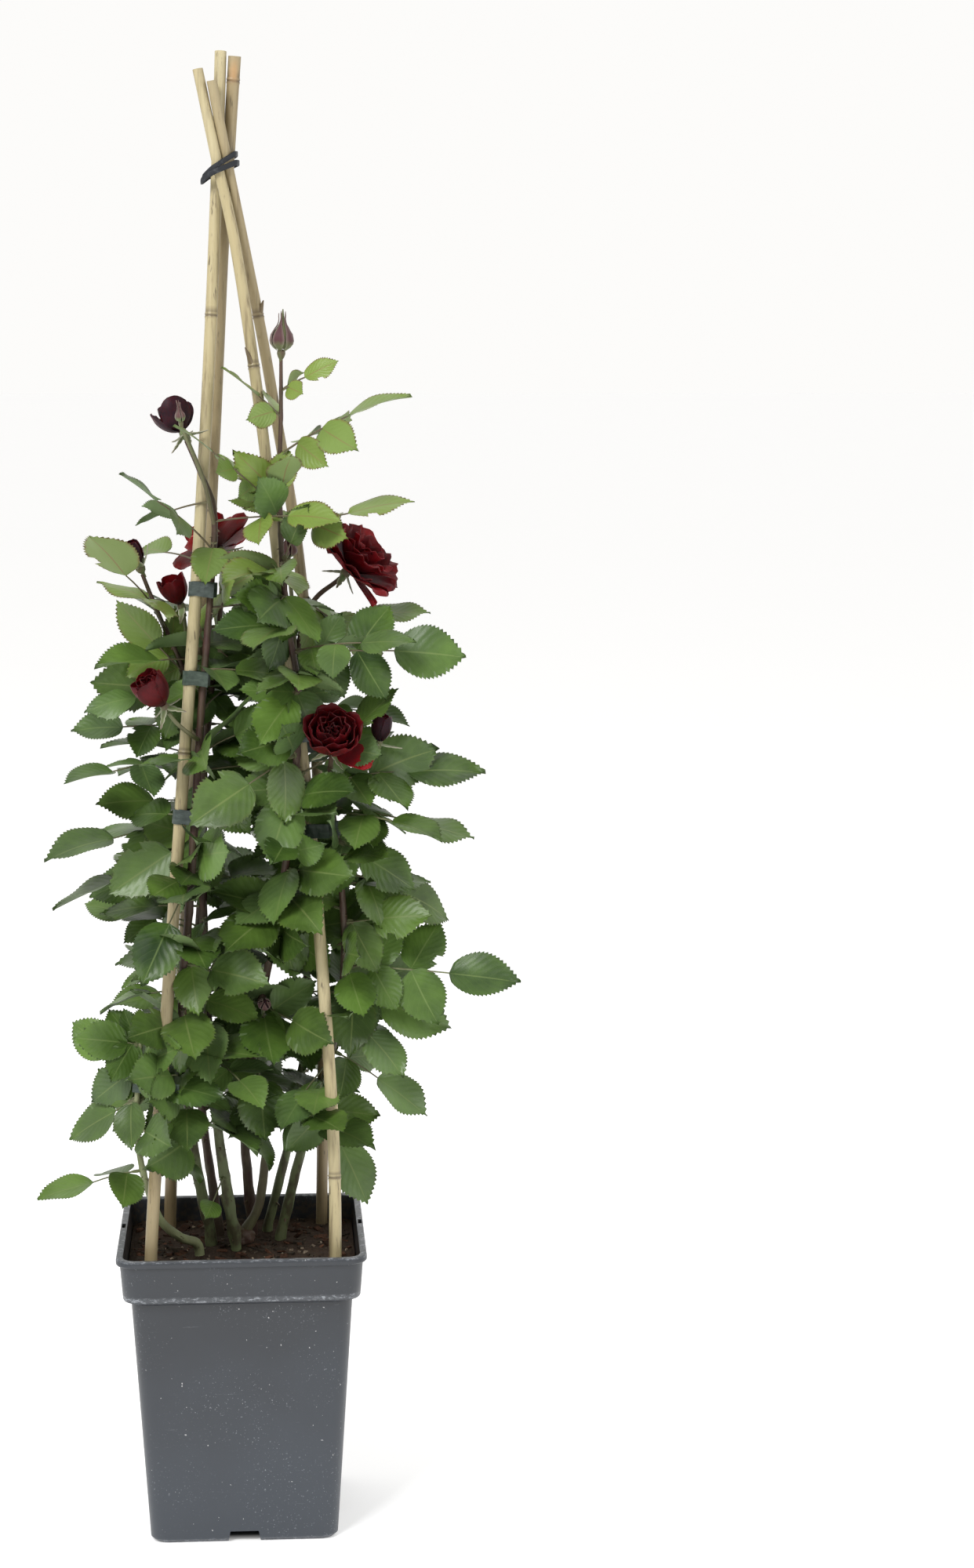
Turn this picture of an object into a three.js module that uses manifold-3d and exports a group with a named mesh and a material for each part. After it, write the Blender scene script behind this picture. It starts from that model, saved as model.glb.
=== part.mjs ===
// A climbing rose in a square plastic pot, trained up four bamboo canes that lean together at the top.
// Millimetres, +Z up. The origin is the centre of the pot's base, on the surface it stands on.

import * as THREE from 'three';
import { mergeVertices } from 'three/addons/utils/BufferGeometryUtils.js';
import Module from 'manifold-3d';

// Pot: half widths are measured from the middle to a flat side.
const POT_HEIGHT = 242;
const POT_BASE_HALF = 76;
const POT_NECK_HALF = 88.5;
const POT_NECK_HEIGHT = 203;
const POT_COLLAR_HALF = 95;
const POT_LIP_HALF = 100;
const POT_LIP_DEPTH = 6;
const POT_WALL = 2.6;
const POT_CORNER = 14;
const POT_FOOT_BEVEL = 3;
const POT_LIP_BEVEL = 1;
const POT_LIP_WIDTH = 4;
const POT_STEP_RISE = 4;
const POT_COLLAR_SPREAD = 2;
const POT_FLOOR = 13;
const CORNER_STEPS = 2;
const CHANNEL_WIDTH = 27;
const CHANNEL_TOP_WIDTH = 23;
const CHANNEL_HEIGHT = 9;
const CHANNEL_LENGTH = 42;
const DRAIN_RADIUS = 5;
const DRAIN_SIDES = 6;
const SLOT_LENGTH = 12;
const SLOT_WIDTH = 3;
const SLOT_DEPTH = 3;
const SLOT_FROM_EDGE = 2.7;
const SLOT_FROM_MIDDLE = 8;

// Soil
const SOIL_LEVEL = 221;
const SOIL_UNEVEN = 2;
const SEAT_GAP = 0.3;
const HOLE_GAP = 0.35;
const SOIL_MOUND = [{ half: 74, lift: 0 }, { half: 34, lift: 2 }];
const HOLE_DEPTH_OVER = 6;
const SOIL_SEED = 5;

// Canes: each is a list of points on its middle line, from the buried end up.
const CANE_SIDES = 6;
const CANE_STEPS = 6;
const CANE_KNOT = 0.6;
const CANE_KNOT_HEIGHT = 5;
const CANES = {
  front_left: {
    points: [[-71, -69, 100], [-73, -71, 230], [-50, -45, 530], [-30, -24, 780],
      [-18, -8, 960], [-10.5, 3, 1107], [-7, 10, 1191]],
    radius: [5.2, 4.6],
    knots: [352, 640, 985],
  },
  back_left: {
    points: [[-58, 70, 100], [-61, 79, 240], [-42, 57, 520], [-21, 33, 805],
      [-7, 16, 1042], [-2, 11, 1107], [4, 8, 1187]],
    radius: [5.2, 5],
    knots: [470, 830, 1168],
  },
  front_right: {
    points: [[72, -69, 100], [75, -71, 230], [73, -62, 360], [58, -46, 580],
      [40, -34, 740], [22, -22, 903], [4, -13, 1034], [-11, -8, 1106], [-25, -3.5, 1176]],
    radius: [5.2, 4.1],
    knots: [300, 615, 945],
  },
  back_right: {
    points: [[64, 70, 100], [67, 80, 226], [69, 64, 400], [66, 45, 604],
      [52, 27, 786], [33.5, 15, 908], [20.5, 8, 985], [-3, -3.5, 1106], [-14, -8.5, 1167]],
    radius: [5, 4.1],
    knots: [520, 700, 985],
  },
};

// Rubber band round the four canes
const BAND_HEIGHT = 1104;
const BAND_WIDTH = 4.5;
const BAND_THICKNESS = 2;
const BAND_GAP = 1;
const BAND_SLACK = 4.5;
const BAND_STEPS = 16;
const BAND_TURNS = [
  { offset: 0, lift: 3, tilt: 31 },
  { offset: 1.2, lift: 0, tilt: 24 },
];

// Tape ties: each holds one shoot to one cane at a height.
const TIE_WIDTH = 11.5;
const TIE_THICKNESS = 1;
const TIE_CLEARANCE = 0.4;
const TIE_ARC_STEPS = 3;
const TIE_STEM_ROOM = 1.1;
const TIES = [
  ['front_left', 'front_left', 770],
  ['front_left', 'front_left', 700],
  ['front_left', 'front_left', 590],
  ['front_left', 'low_left', 374],
  ['front_right', 'right_top', 655],
  ['front_right', 'right_outer', 578],
  ['back_left', 'back_left', 560],
  ['back_right', 'back_right', 640],
];

// Rose crown: the graft knob at the soil and the cut stubs on it
const CROWN = { centre: [0, 30, 224], radius: 11, flatten: 0.8, sides: 7, rings: 4 };
const STUB_STEP = 20;
const STUBS = [
  { points: [[0, 30, 226], [14, 31, 252], [21, 35, 300]], radius: [4.2, 3.6] },
  { points: [[-2, 28, 226], [-10, 22, 246], [-15, 18, 264]], radius: [4, 3.2] },
];

// Shoots of the rose: points on the middle line from the buried foot to the tip.
const STEM_SIDES = 5;
const STEM_STEP = 48;
const SHOOTS = {
  front_left: {
    points: [[-26, 22, 200], [-26, 22, 228], [-38, 6, 300], [-46, -34, 420], [-38, -39, 530],
      [-28, -31, 670], [-18.5, -22, 777], [-16, -25, 832], [-27, -30, 864], [-37, -27, 887]],
    radius: [4.4, 1.7],
  },
  left_inner: {
    points: [[-6, 8, 200], [-6, 8, 228], [-18, 2, 315], [-26, -4, 420], [-29, -2, 578],
      [-20, 12, 690], [-12, 40, 755], [-10, 66, 790]],
    radius: [4.6, 1.9],
  },
  right_top: {
    points: [[8, 50, 200], [8, 50, 228], [3, 42, 322], [16, 8, 420], [34, -30, 520], [46, -52, 620],
      [49, -50, 690], [42, -47, 741], [37, -41, 800], [36, -36, 860], [37.5, -34, 905], [38, -32, 950]],
    radius: [4, 1.4],
  },
  right_outer: {
    points: [[33, 36, 200], [33, 36, 228], [52, 18, 309], [70, -8, 371], [84, -22, 452],
      [84, -30, 515], [79, -37, 565], [74, -44, 616], [75, -58, 641]],
    radius: [4, 1.9],
  },
  back_right: {
    points: [[22, 58, 200], [22, 58, 228], [42, 54, 310], [55, 55, 400], [54, 44, 500],
      [52, 34, 604], [49, 24, 700], [60, 14, 752], [84, 2, 776]],
    radius: [3.6, 1.9],
  },
  back_left: {
    points: [[-20, 50, 200], [-20, 50, 228], [-32, 56, 320], [-38, 56, 420], [-31, 47, 520],
      [-27, 41, 604], [-32, 30, 670], [-48, 14, 715], [-62, 8, 748], [-74, 2, 780]],
    radius: [3.6, 1.6],
  },
  low_left: {
    points: [[-36, -8, 200], [-36, -8, 228], [-50, -22, 240], [-66, -38, 260], [-78, -50, 300],
      [-83, -52, 345], [-79, -52, 410]],
    radius: [3.8, 1.8],
  },
};

// Side stalks that carry a bloom or a bud off a shoot
const STALKS = {
  cupped: { shoot: 'front_left', from: 650, points: [[-36, -46, 656], [-46, -50, 665], [-53, -51, 674]] },
  side_bud: { shoot: 'front_left', from: 820, points: [[-24, -43, 858], [-39, -54, 897]] },
  half_hidden: { shoot: 'back_left', from: 664, points: [[-37, 20, 708], [-42, 10, 748]] },
  dark_bud: { shoot: 'back_right', from: 695, points: [[46, 12, 750], [43, 4, 786]] },
  low_bud: { shoot: 'right_outer', from: 602, points: [[98, -46, 621], [112, -46, 642]] },
  dried: { shoot: 'right_top', from: 416, points: [[18, -4, 420], [19, -12, 425]] },
};
const STALK_RADIUS = [1.9, 1.5];
const STALK_STEP = 18;

// Blooms: at is the end of the flower stalk, axis the way the bloom faces.
// A layer is [petals, angle off the axis at the base, at the rim, petal length, petal width].
const BLOOMS = {
  bud_top: { at: [38, -32, 952], on: 'right_top', axis: [0.05, 0, 1], hip: 3.4, sepals: 0, shut: [8.4, 31] },
  opening: { at: [-37, -27, 889], on: 'front_left', axis: [-0.45, 0.3, 0.85], hip: 3.8, sepals: 5, sepalOpen: 118,
    core: [8, 19], layers: [[3, 52, -26, 25, 24], [3, 70, -16, 29, 28]] },
  side_bud: { at: [-40, -54, 898], on: 'front_left', axis: [-0.1, -0.3, 1], hip: 1.9, sepals: 0, shut: [3, 11] },
  wide: { at: [-10, 67, 791], on: 'left_inner', axis: [-0.45, 0.45, 0.8], hip: 4, sepals: 4, sepalOpen: 125,
    core: [7, 15], layers: [[4, 48, 34, 26, 24], [5, 82, 84, 36, 30]] },
  half_open: { at: [-74, 2, 782], on: 'back_left', axis: [-0.45, -0.2, 0.9], hip: 4.2, sepals: 3, sepalOpen: 96,
    core: [6, 16], layers: [[3, 42, -24, 20, 18]] },
  half_hidden: { at: [-42, 9, 750], on: 'back_left', axis: [-0.35, -0.2, 0.9], hip: 3.6, sepals: 3, sepalOpen: 120,
    core: [6, 15], layers: [[4, 52, -16, 24, 22]] },
  large: { at: [86, 0, 778], on: 'back_right', axis: [0.64, 0, 0.68], hip: 4.4, sepals: 4, sepalOpen: 128,
    core: [8, 16], layers: [[3, 36, -12, 24, 26], [4, 52, 12, 32, 34], [5, 66, 42, 38, 36]] },
  dark_bud: { at: [42, 3, 788], on: 'back_right', axis: [0, -0.2, 1], hip: 2.8, sepals: 0, shut: [7, 19] },
  cupped: { at: [-54, -51, 676], on: 'front_left', axis: [-0.5, -0.35, 0.8], hip: 4, sepals: 4, sepalOpen: 120,
    core: [7, 20], layers: [[3, 36, -20, 25, 22], [4, 60, -14, 30, 27]] },
  rosette: { at: [75, -61, 644], on: 'right_outer', axis: [0.02, -0.72, 0.7], hip: 4.2, sepals: 4, sepalOpen: 128,
    core: [8, 15], layers: [[3, 36, -20, 21, 22], [4, 56, -6, 28, 28], [5, 78, 14, 33, 32]] },
  low_bud: { at: [112, -46, 644], on: 'right_outer', axis: [0.18, -0.15, 1], hip: 3.2, sepals: 3, sepalOpen: 92,
    core: [7, 17], layers: [[3, 40, -26, 21, 18]] },
  dried: { at: [19, -13, 426], on: 'right_top', axis: [0.1, -0.6, 0.6], hip: 2, sepals: 0, shut: [4.6, 9] },
};
const PETAL_THICKNESS = 1.4;
const CORE_SIDES = 5;
const SEPAL_LENGTH = 18;
const SEPAL_WIDTH = 5.5;
const SEPAL_THICKNESS = 1.3;
const HIP_HEIGHT = 6.5;
const PETAL_WRAP = 0.94;
const PETAL_FOOT = { radius: 3.4, height: 1.2, inset: 0.7, rise: 0.9 };
const PETAL_SHOULDER = 0.72;
const PETAL_FOOT_WIDTH = 0.25;
const HIP_NECK = 5;
const SEPAL_TURN = 0.4;
const SEPAL_RIB_AT = 0.42;
const SEPAL_WIDE_AT = 0.36;
const SEPAL_SEAT = { height: 0.7, radius: 0.4 };
const SEPAL_NOTCH = { radius: 1.2, rise: 0.8 };
const BLOOM_SEED = 301;
// Outline of a shut bud and of the tight heart of a bloom: [share of height, share of radius]
const SHUT_PROFILE = [[0, 0.4], [0.16, 0.86], [0.36, 1], [0.6, 0.74], [0.82, 0.34], [1, 0.08]];
const CORE_PROFILE = [[0, 0.35], [0.3, 0.95], [0.62, 1], [1, 0.45]];

// Compound leaves. A row is the shoot, the height where the leaf leaves it, the tip of the end leaflet,
// the number of leaflets, the length of the end leaflet and the way the blade faces.
const FACING = {
  up: [0, -0.35, 1],
  front: [0, -1, 0.45],
  left: [-1, -0.5, 0.5],
  right: [1, -0.5, 0.5],
  back: [0, 1, 0.5],
};
const LEAVES = [
  ['right_top', 926, [80, -35, 950], 3, 27, 'up'],
  ['right_top', 906, [-8, -60, 930], 3, 34, 'up'],
  ['right_top', 876, [131, -50, 930], 5, 48, 'up'],
  ['right_top', 838, [50, -66, 886], 1, 38, 'up'],
  ['right_top', 831, [-41, -72, 903], 5, 36, 'up'],
  ['front_left', 800, [-85, -84, 866], 3, 42, 'up'],
  ['back_left', 735, [-109, -62, 818], 3, 54, 'up'],
  ['front_left', 808, [-22, -62, 782], 1, 38, 'front'],
  ['right_top', 812, [135, -46, 846], 3, 48, 'up'],
  ['right_top', 786, [-13, -92, 800], 3, 54, 'up'],
  ['right_top', 790, [64, -70, 832], 1, 36, 'front'],
  ['right_top', 766, [30, -80, 760], 3, 54, 'front'],
  ['right_top', 722, [180, -70, 724], 5, 56, 'front'],
  ['back_right', 736, [154, 5, 754], 3, 46, 'up'],
  ['right_top', 744, [-16, -70, 744], 3, 46, 'front'],
  ['back_left', 696, [-96, -15, 746], 5, 46, 'front'],
  ['back_left', 684, [-116, 0, 694], 3, 54, 'front'],
  ['right_top', 692, [24, -85, 662], 3, 52, 'front'],
  ['right_outer', 642, [136, -35, 676], 3, 46, 'up'],
  ['front_left', 640, [4, -88, 662], 3, 58, 'up'],
  ['back_left', 654, [-132, 10, 654], 5, 42, 'left'],
  ['back_left', 626, [-136, -44, 622], 5, 46, 'up'],
  ['right_outer', 616, [196, -50, 634], 5, 62, 'up'],
  ['right_outer', 596, [189, -50, 577], 3, 58, 'up'],
  ['right_outer', 570, [152, -45, 552], 3, 52, 'front'],
  ['right_top', 618, [26, -88, 560], 3, 54, 'front'],
  ['right_top', 642, [-28, -95, 580], 3, 58, 'front'],
  ['left_inner', 612, [10, -30, 576], 3, 46, 'front'],
  ['right_outer', 500, [150, -66, 514], 3, 50, 'front'],
  ['right_top', 400, [20, -58, 330], 1, 56, 'front'],
  ['left_inner', 440, [-14, -84, 398], 3, 54, 'front'],
  ['right_top', 514, [6, -70, 500], 3, 66, 'front'],
  ['back_left', 572, [-156, 0, 558], 5, 58, 'up'],
  ['back_left', 554, [-152, 20, 508], 3, 58, 'left'],
  ['left_inner', 572, [-96, -20, 514], 3, 60, 'front'],
  ['back_left', 590, [-104, -14, 584], 1, 50, 'front'],
  ['front_left', 540, [-76, -98, 468], 1, 56, 'front'],
  ['left_inner', 502, [-8, -80, 502], 3, 40, 'front'],
  ['front_left', 470, [10, -92, 440], 3, 54, 'front'],
  ['back_right', 506, [142, 20, 472], 5, 46, 'front'],
  ['right_outer', 464, [226, -50, 457], 5, 58, 'front'],
  ['right_outer', 446, [172, -30, 414], 3, 62, 'front'],
  ['right_outer', 432, [122, -88, 426], 1, 46, 'front'],
  ['right_top', 428, [16, -75, 412], 3, 60, 'front'],
  ['right_outer', 384, [46, -84, 336], 1, 46, 'front'],
  ['right_outer', 392, [154, -30, 345], 3, 50, 'up'],
  ['right_outer', 348, [104, -24, 266], 3, 54, 'front'],
  ['low_left', 408, [-130, -70, 418], 5, 44, 'front'],
  ['low_left', 390, [-52, -100, 406], 3, 40, 'front'],
  ['low_left', 364, [-150, -65, 358], 3, 48, 'front'],
  ['front_left', 368, [-42, -92, 332], 3, 48, 'front'],
  ['low_left', 304, [-162, -70, 290], 3, 46, 'up'],
  ['right_top', 324, [-20, -55, 348], 3, 58, 'front'],
  ['front_left', 296, [-70, -60, 306], 3, 36, 'up'],
  ['left_inner', 284, [-28, -70, 270], 1, 28, 'front'],
  ['right_outer', 470, [98, -80, 436], 1, 48, 'front'],
  ['back_right', 444, [60, -5, 482], 3, 46, 'front'],
  ['left_inner', 686, [-32, -10, 672], 3, 46, 'front'],
  ['back_left', 330, [-118, 92, 330], 3, 52, 'back'],
  ['back_left', 400, [-18, 150, 384], 3, 50, 'back'],
  ['back_left', 470, [24, 140, 452], 3, 50, 'back'],
  ['back_left', 540, [-126, 70, 528], 3, 50, 'left'],
  ['back_left', 600, [-24, 138, 590], 3, 50, 'up'],
  ['back_right', 340, [36, 152, 330], 3, 52, 'back'],
  ['back_right', 392, [150, 60, 420], 1, 50, 'up'],
  ['back_right', 540, [152, 46, 540], 3, 50, 'right'],
  ['back_right', 600, [40, 136, 598], 3, 48, 'back'],
  ['left_inner', 450, [10, 84, 500], 3, 46, 'back'],
  ['right_outer', 440, [140, 30, 420], 3, 50, 'right'],
  ['low_left', 380, [-128, 10, 372], 3, 46, 'left'],
];
const LEAF_WIDTH_RATIO = 0.34;
const LEAF_RIB_THICKNESS = 1.4;
const LEAF_STALK_HALF = 0.75;
const LEAF_STALK_THICKNESS = 1.3;
const LEAFLET_SEAT = 0.8;
// Edge of a leaflet: [share of its length, share of its half width], tooth tips and notches in turn.
const LEAF_EDGE = [[0.15, 0.8], [0.5, 1.04], [0.6, 0.84]];
const LEAF_RIB_AT = 0.46;
const LEAF_FOLD = [0.1, 0.32];
const LEAF_DROOP = [0.02, 0.16];
const LEAF_ARCH = [0.02, 0.1];
const LEAFLET_SPREAD = [56, 74];
const LEAFLET_DROP = [-4, 24];
const LEAFLET_SHRINK = { first: 0.86, rest: 0.7 };
const LEAFLET_VARIES = [0.92, 1.06];
const BLADE_VARIES = [0.92, 1.08];
const PAIR_GAP = { of: 0.6, most: 0.72 };
const BEND_STEP = 9;
const BEND_RINGS = 4;
const CLEARANCE = 0.35;

const THORN_LENGTH = 4.6;
const THORN_RADIUS = 1.5;
const THORN_SPACING = 58;
const THORN_TOP = 560;
const THORN_DROP = 0.35;
const THORN_SPREAD = 20;
const THORN_FIRST = 14;
const THORN_SEED = 201;

const wasm = await Module();
wasm.setup();

const UP = new THREE.Vector3(0, 0, 1);
const vector = ([x, y, z]) => new THREE.Vector3(x, y, z);
const radians = THREE.MathUtils.degToRad;

// A repeatable draw of numbers, one for each leaf, bloom or shoot.
class Draw {
  constructor(seed) {
    this.state = (seed * 7919 + 104729) % 2147483647;
    this.next();
  }

  next() {
    this.state = (this.state * 48271) % 2147483647;
    return this.state / 2147483647;
  }

  between(low, high) {
    return low + (high - low) * this.next();
  }
}

// A closed geometry as a solid that can be cut and joined.
function solidOf(geometry) {
  const bare = geometry.clone();
  bare.deleteAttribute('normal');
  bare.deleteAttribute('uv');
  const merged = mergeVertices(bare);
  return new wasm.Manifold(new wasm.Mesh({
    numProp: 3,
    vertProperties: new Float32Array(merged.attributes.position.array),
    triVerts: new Uint32Array(merged.index.array),
  }));
}

function geometryOf(solid) {
  const mesh = solid.getMesh();
  const geometry = new THREE.BufferGeometry();
  geometry.setAttribute('position', new THREE.BufferAttribute(new Float32Array(mesh.vertProperties), 3));
  geometry.setIndex(new THREE.BufferAttribute(new Uint32Array(mesh.triVerts), 1));
  return geometry;
}

function indexedGeometry(points, faces) {
  const geometry = new THREE.BufferGeometry();
  geometry.setAttribute('position', new THREE.Float32BufferAttribute(points.flatMap((p) => p.toArray()), 3));
  geometry.setIndex(faces.flat());
  return geometry;
}

// A closed skin over a stack of rings of equal count, fanned shut at both ends.
function loft(rings) {
  const count = rings[0].length;
  const points = rings.flat();
  const faces = [];
  for (let r = 0; r + 1 < rings.length; r += 1) {
    for (let i = 0; i < count; i += 1) {
      const a = r * count + i;
      const b = r * count + ((i + 1) % count);
      faces.push([a, b, b + count], [a, b + count, a + count]);
    }
  }
  const middle = (ring) => ring.reduce((sum, p) => sum.add(p), new THREE.Vector3()).divideScalar(count);
  const first = points.push(middle(rings[0])) - 1;
  const last = points.push(middle(rings[rings.length - 1])) - 1;
  const top = (rings.length - 1) * count;
  for (let i = 0; i < count; i += 1) {
    const j = (i + 1) % count;
    faces.push([first, j, i], [last, top + i, top + j]);
  }
  return indexedGeometry(points, faces);
}

function curveThrough(points) {
  return new THREE.CatmullRomCurve3(points.map(vector), false, 'catmullrom', 0.5);
}

// Share of the curve's run at which it stands at a height; every shoot and cane only climbs.
function shareAtHeight(curve, height) {
  let low = 0;
  let high = 1;
  for (let i = 0; i < 40; i += 1) {
    const middle = (low + high) / 2;
    if (curve.getPoint(middle).z < height) low = middle;
    else high = middle;
  }
  return (low + high) / 2;
}

function pointAtHeight(curve, height) {
  return curve.getPoint(shareAtHeight(curve, height));
}

// A round rod along a curve with a radius at each of its stations.
function rod(curve, stations, sides) {
  const rings = stations.map(([share, radius]) => {
    const centre = curve.getPoint(share);
    const along = curve.getTangent(share);
    const turn = new THREE.Quaternion().setFromUnitVectors(UP, along);
    return Array.from({ length: sides }, (_, i) => {
      const angle = (i / sides) * 2 * Math.PI;
      const spoke = new THREE.Vector3(Math.cos(angle) * radius, Math.sin(angle) * radius, 0);
      return spoke.applyQuaternion(turn).add(centre);
    });
  });
  return loft(rings);
}

function evenStations(curve, [thick, thin], step) {
  const steps = Math.max(2, Math.round(curve.getLength() / step));
  return Array.from({ length: steps + 1 }, (_, i) => [i / steps, THREE.MathUtils.lerp(thick, thin, i / steps)]);
}

function taperedRod(points, radii, step = STEM_STEP, sides = STEM_SIDES) {
  const curve = curveThrough(points);
  return rod(curve, evenStations(curve, radii, step), sides);
}

// The buried stretch of a rod, grown all round: the hole that it stands in.
function holeRound(curve, stations, sides) {
  const clear = stations.findIndex(([share]) => curve.getPoint(share).z > SOIL_LEVEL + HOLE_DEPTH_OVER);
  const buried = stations.slice(0, clear + 1).map(([share, radius]) => [share, radius + HOLE_GAP]);
  return solidOf(rod(curve, buried, sides));
}

// A thin sheet that is given its thickness afterwards. Points of no thickness make a sharp edge.
class Sheet {
  constructor() {
    this.points = [];
    this.normals = [];
    this.thicknesses = [];
    this.faces = [];
  }

  add(point, normal, thickness) {
    this.normals.push(normal);
    this.thicknesses.push(thickness);
    return this.points.push(point) - 1;
  }

  face(...corners) {
    this.faces.push(corners);
  }

  geometry() {
    const points = [];
    const tops = [];
    const bottoms = [];
    this.points.forEach((point, i) => {
      const half = this.thicknesses[i] / 2;
      tops.push(points.push(point.clone().addScaledVector(this.normals[i], half)) - 1);
      if (half === 0) bottoms.push(tops[i]);
      else bottoms.push(points.push(point.clone().addScaledVector(this.normals[i], -half)) - 1);
    });
    const faces = [];
    const edges = new Set();
    for (const [a, b, c] of this.faces) {
      faces.push([tops[a], tops[b], tops[c]], [bottoms[c], bottoms[b], bottoms[a]]);
      for (const edge of [[a, b], [b, c], [c, a]]) edges.add(edge.join());
    }
    for (const edge of edges) {
      const [a, b] = edge.split(',').map(Number);
      if (edges.has([b, a].join())) continue;
      const walls = [[tops[a], bottoms[a], bottoms[b]], [tops[a], bottoms[b], tops[b]]];
      faces.push(...walls.filter((wall) => new Set(wall).size === 3));
    }
    return indexedGeometry(points, faces);
  }
}

// One leaflet, folded a little along its rib, on the two stalk points a and b of the sheet.
function addLeaflet(sheet, a, b, forward, normal, length, draw) {
  const base = sheet.points[a].clone().add(sheet.points[b]).multiplyScalar(0.5);
  const side = normal.clone().cross(forward).normalize();
  const half = length * LEAF_WIDTH_RATIO * draw.between(...BLADE_VARIES);
  const fold = draw.between(...LEAF_FOLD);
  const droop = draw.between(...LEAF_DROOP);
  const place = (along, across) => base.clone()
    .addScaledVector(forward, along * length)
    .addScaledVector(side, across * half)
    .addScaledVector(normal, fold * Math.abs(across) * half - droop * along * along * length);
  const rib = sheet.add(place(LEAF_RIB_AT, 0), normal, LEAF_RIB_THICKNESS);
  const tip = sheet.add(place(1, 0), normal, 0);
  const left = [a, ...LEAF_EDGE.map(([s, w]) => sheet.add(place(s, w), normal, 0)), tip];
  const right = [b, ...LEAF_EDGE.map(([s, w]) => sheet.add(place(s, -w), normal, 0)), tip];
  sheet.face(b, rib, a);
  for (let i = 0; i + 1 < left.length; i += 1) {
    sheet.face(rib, left[i + 1], left[i]);
    sheet.face(rib, right[i], right[i + 1]);
  }
}

// A compound leaf: a stalk from the root, leaflets in pairs along it and one at its end.
function compoundLeaf(root, reach, facing, leaflets, length, draw) {
  const along = reach.clone().normalize();
  const normal = facing.clone().addScaledVector(along, -facing.dot(along)).normalize();
  const side = normal.clone().cross(along);
  const pairs = (leaflets - 1) / 2;
  const stalkLength = Math.max(reach.length() - length, length * 0.25);
  const arch = draw.between(...LEAF_ARCH);
  const end = root.clone().addScaledVector(along, stalkLength);
  const crest = root.clone()
    .addScaledVector(along, stalkLength / 2)
    .addScaledVector(normal, stalkLength * arch);
  const stalk = new THREE.QuadraticBezierCurve3(root, crest, end);
  const gap = Math.min((PAIR_GAP.of * length) / stalkLength, PAIR_GAP.most / Math.max(pairs, 1));
  const seat = LEAFLET_SEAT / stalkLength;
  const sheet = new Sheet();
  const rails = { left: [], right: [] };
  const station = (share) => {
    const centre = stalk.getPoint(share);
    for (const [rail, offset] of [[rails.left, LEAF_STALK_HALF], [rails.right, -LEAF_STALK_HALF]]) {
      rail.push(sheet.add(centre.clone().addScaledVector(side, offset), normal, LEAF_STALK_THICKNESS));
    }
  };
  station(0);
  if (pairs === 0) station(0.5);
  const seats = [];
  for (let pair = pairs; pair > 0; pair -= 1) {
    const share = 1 - pair * gap;
    seats.push([rails.left.length, pair]);
    station(share - seat);
    station(share + seat);
  }
  station(1);
  for (let i = 0; i + 1 < rails.left.length; i += 1) {
    sheet.face(rails.right[i], rails.right[i + 1], rails.left[i + 1]);
    sheet.face(rails.right[i], rails.left[i + 1], rails.left[i]);
  }
  for (const [at, pair] of seats) {
    for (const hand of [1, -1]) {
      const spread = radians(draw.between(...LEAFLET_SPREAD));
      const drop = radians(draw.between(...LEAFLET_DROP));
      const flat = along.clone()
        .multiplyScalar(Math.cos(spread))
        .addScaledVector(side, hand * Math.sin(spread));
      const forward = flat.multiplyScalar(Math.cos(drop)).addScaledVector(normal, -Math.sin(drop)).normalize();
      const up = normal.clone().addScaledVector(forward, -normal.dot(forward)).normalize();
      const shrink = pair === 1 ? LEAFLET_SHRINK.first : LEAFLET_SHRINK.rest;
      const size = length * shrink * draw.between(...LEAFLET_VARIES);
      const [a, b] = hand > 0
        ? [rails.left[at], rails.left[at + 1]]
        : [rails.right[at + 1], rails.right[at]];
      addLeaflet(sheet, a, b, forward, up, size, draw);
    }
  }
  addLeaflet(sheet, rails.left.at(-1), rails.right.at(-1), along, normal, length, draw);
  return solidOf(sheet.geometry());
}

// Small turns of a leaf about its root, nearest first, until it is clear of everything placed before it.
function* bends() {
  for (let ring = 0; ring <= BEND_RINGS; ring += 1) {
    for (let turn = -ring; turn <= ring; turn += 1) {
      for (let tilt = -ring; tilt <= ring; tilt += 1) {
        if (Math.max(Math.abs(turn), Math.abs(tilt)) === ring) {
          yield [radians(turn * BEND_STEP), radians(tilt * BEND_STEP)];
        }
      }
    }
  }
}

function bent(direction, aim, turn, tilt) {
  const hinge = UP.clone().cross(aim).normalize();
  return direction.clone().applyAxisAngle(hinge, tilt).applyAxisAngle(UP, turn);
}

const placed = [];

function boxesApart(a, b) {
  return [0, 1, 2].some((k) => a.min[k] > b.max[k] + CLEARANCE || b.min[k] > a.max[k] + CLEARANCE);
}

function isClear(solid, owner) {
  const box = solid.boundingBox();
  return placed.every((other) => {
    if (other.owner === owner && other.isStem) return true;
    if (boxesApart(box, other.box)) return true;
    return solid.minGap(other.solid, CLEARANCE * 2) > CLEARANCE;
  });
}

function remember(solid, owner, isStem = false) {
  placed.push({ solid, owner, isStem, box: solid.boundingBox() });
}

// A level ring of a square with round corners.
function squareRing(half, corner, height) {
  const ring = [];
  for (let quarter = 0; quarter < 4; quarter += 1) {
    for (let step = 0; step <= CORNER_STEPS; step += 1) {
      const angle = ((quarter + step / CORNER_STEPS) * Math.PI) / 2;
      const cx = (half - corner) * (quarter === 0 || quarter === 3 ? 1 : -1);
      const cy = (half - corner) * (quarter < 2 ? 1 : -1);
      ring.push(new THREE.Vector3(cx + corner * Math.cos(angle), cy + corner * Math.sin(angle), height));
    }
  }
  return ring;
}

function bodyHalfAt(height) {
  return THREE.MathUtils.lerp(POT_BASE_HALF, POT_NECK_HALF, height / POT_NECK_HEIGHT);
}

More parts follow.
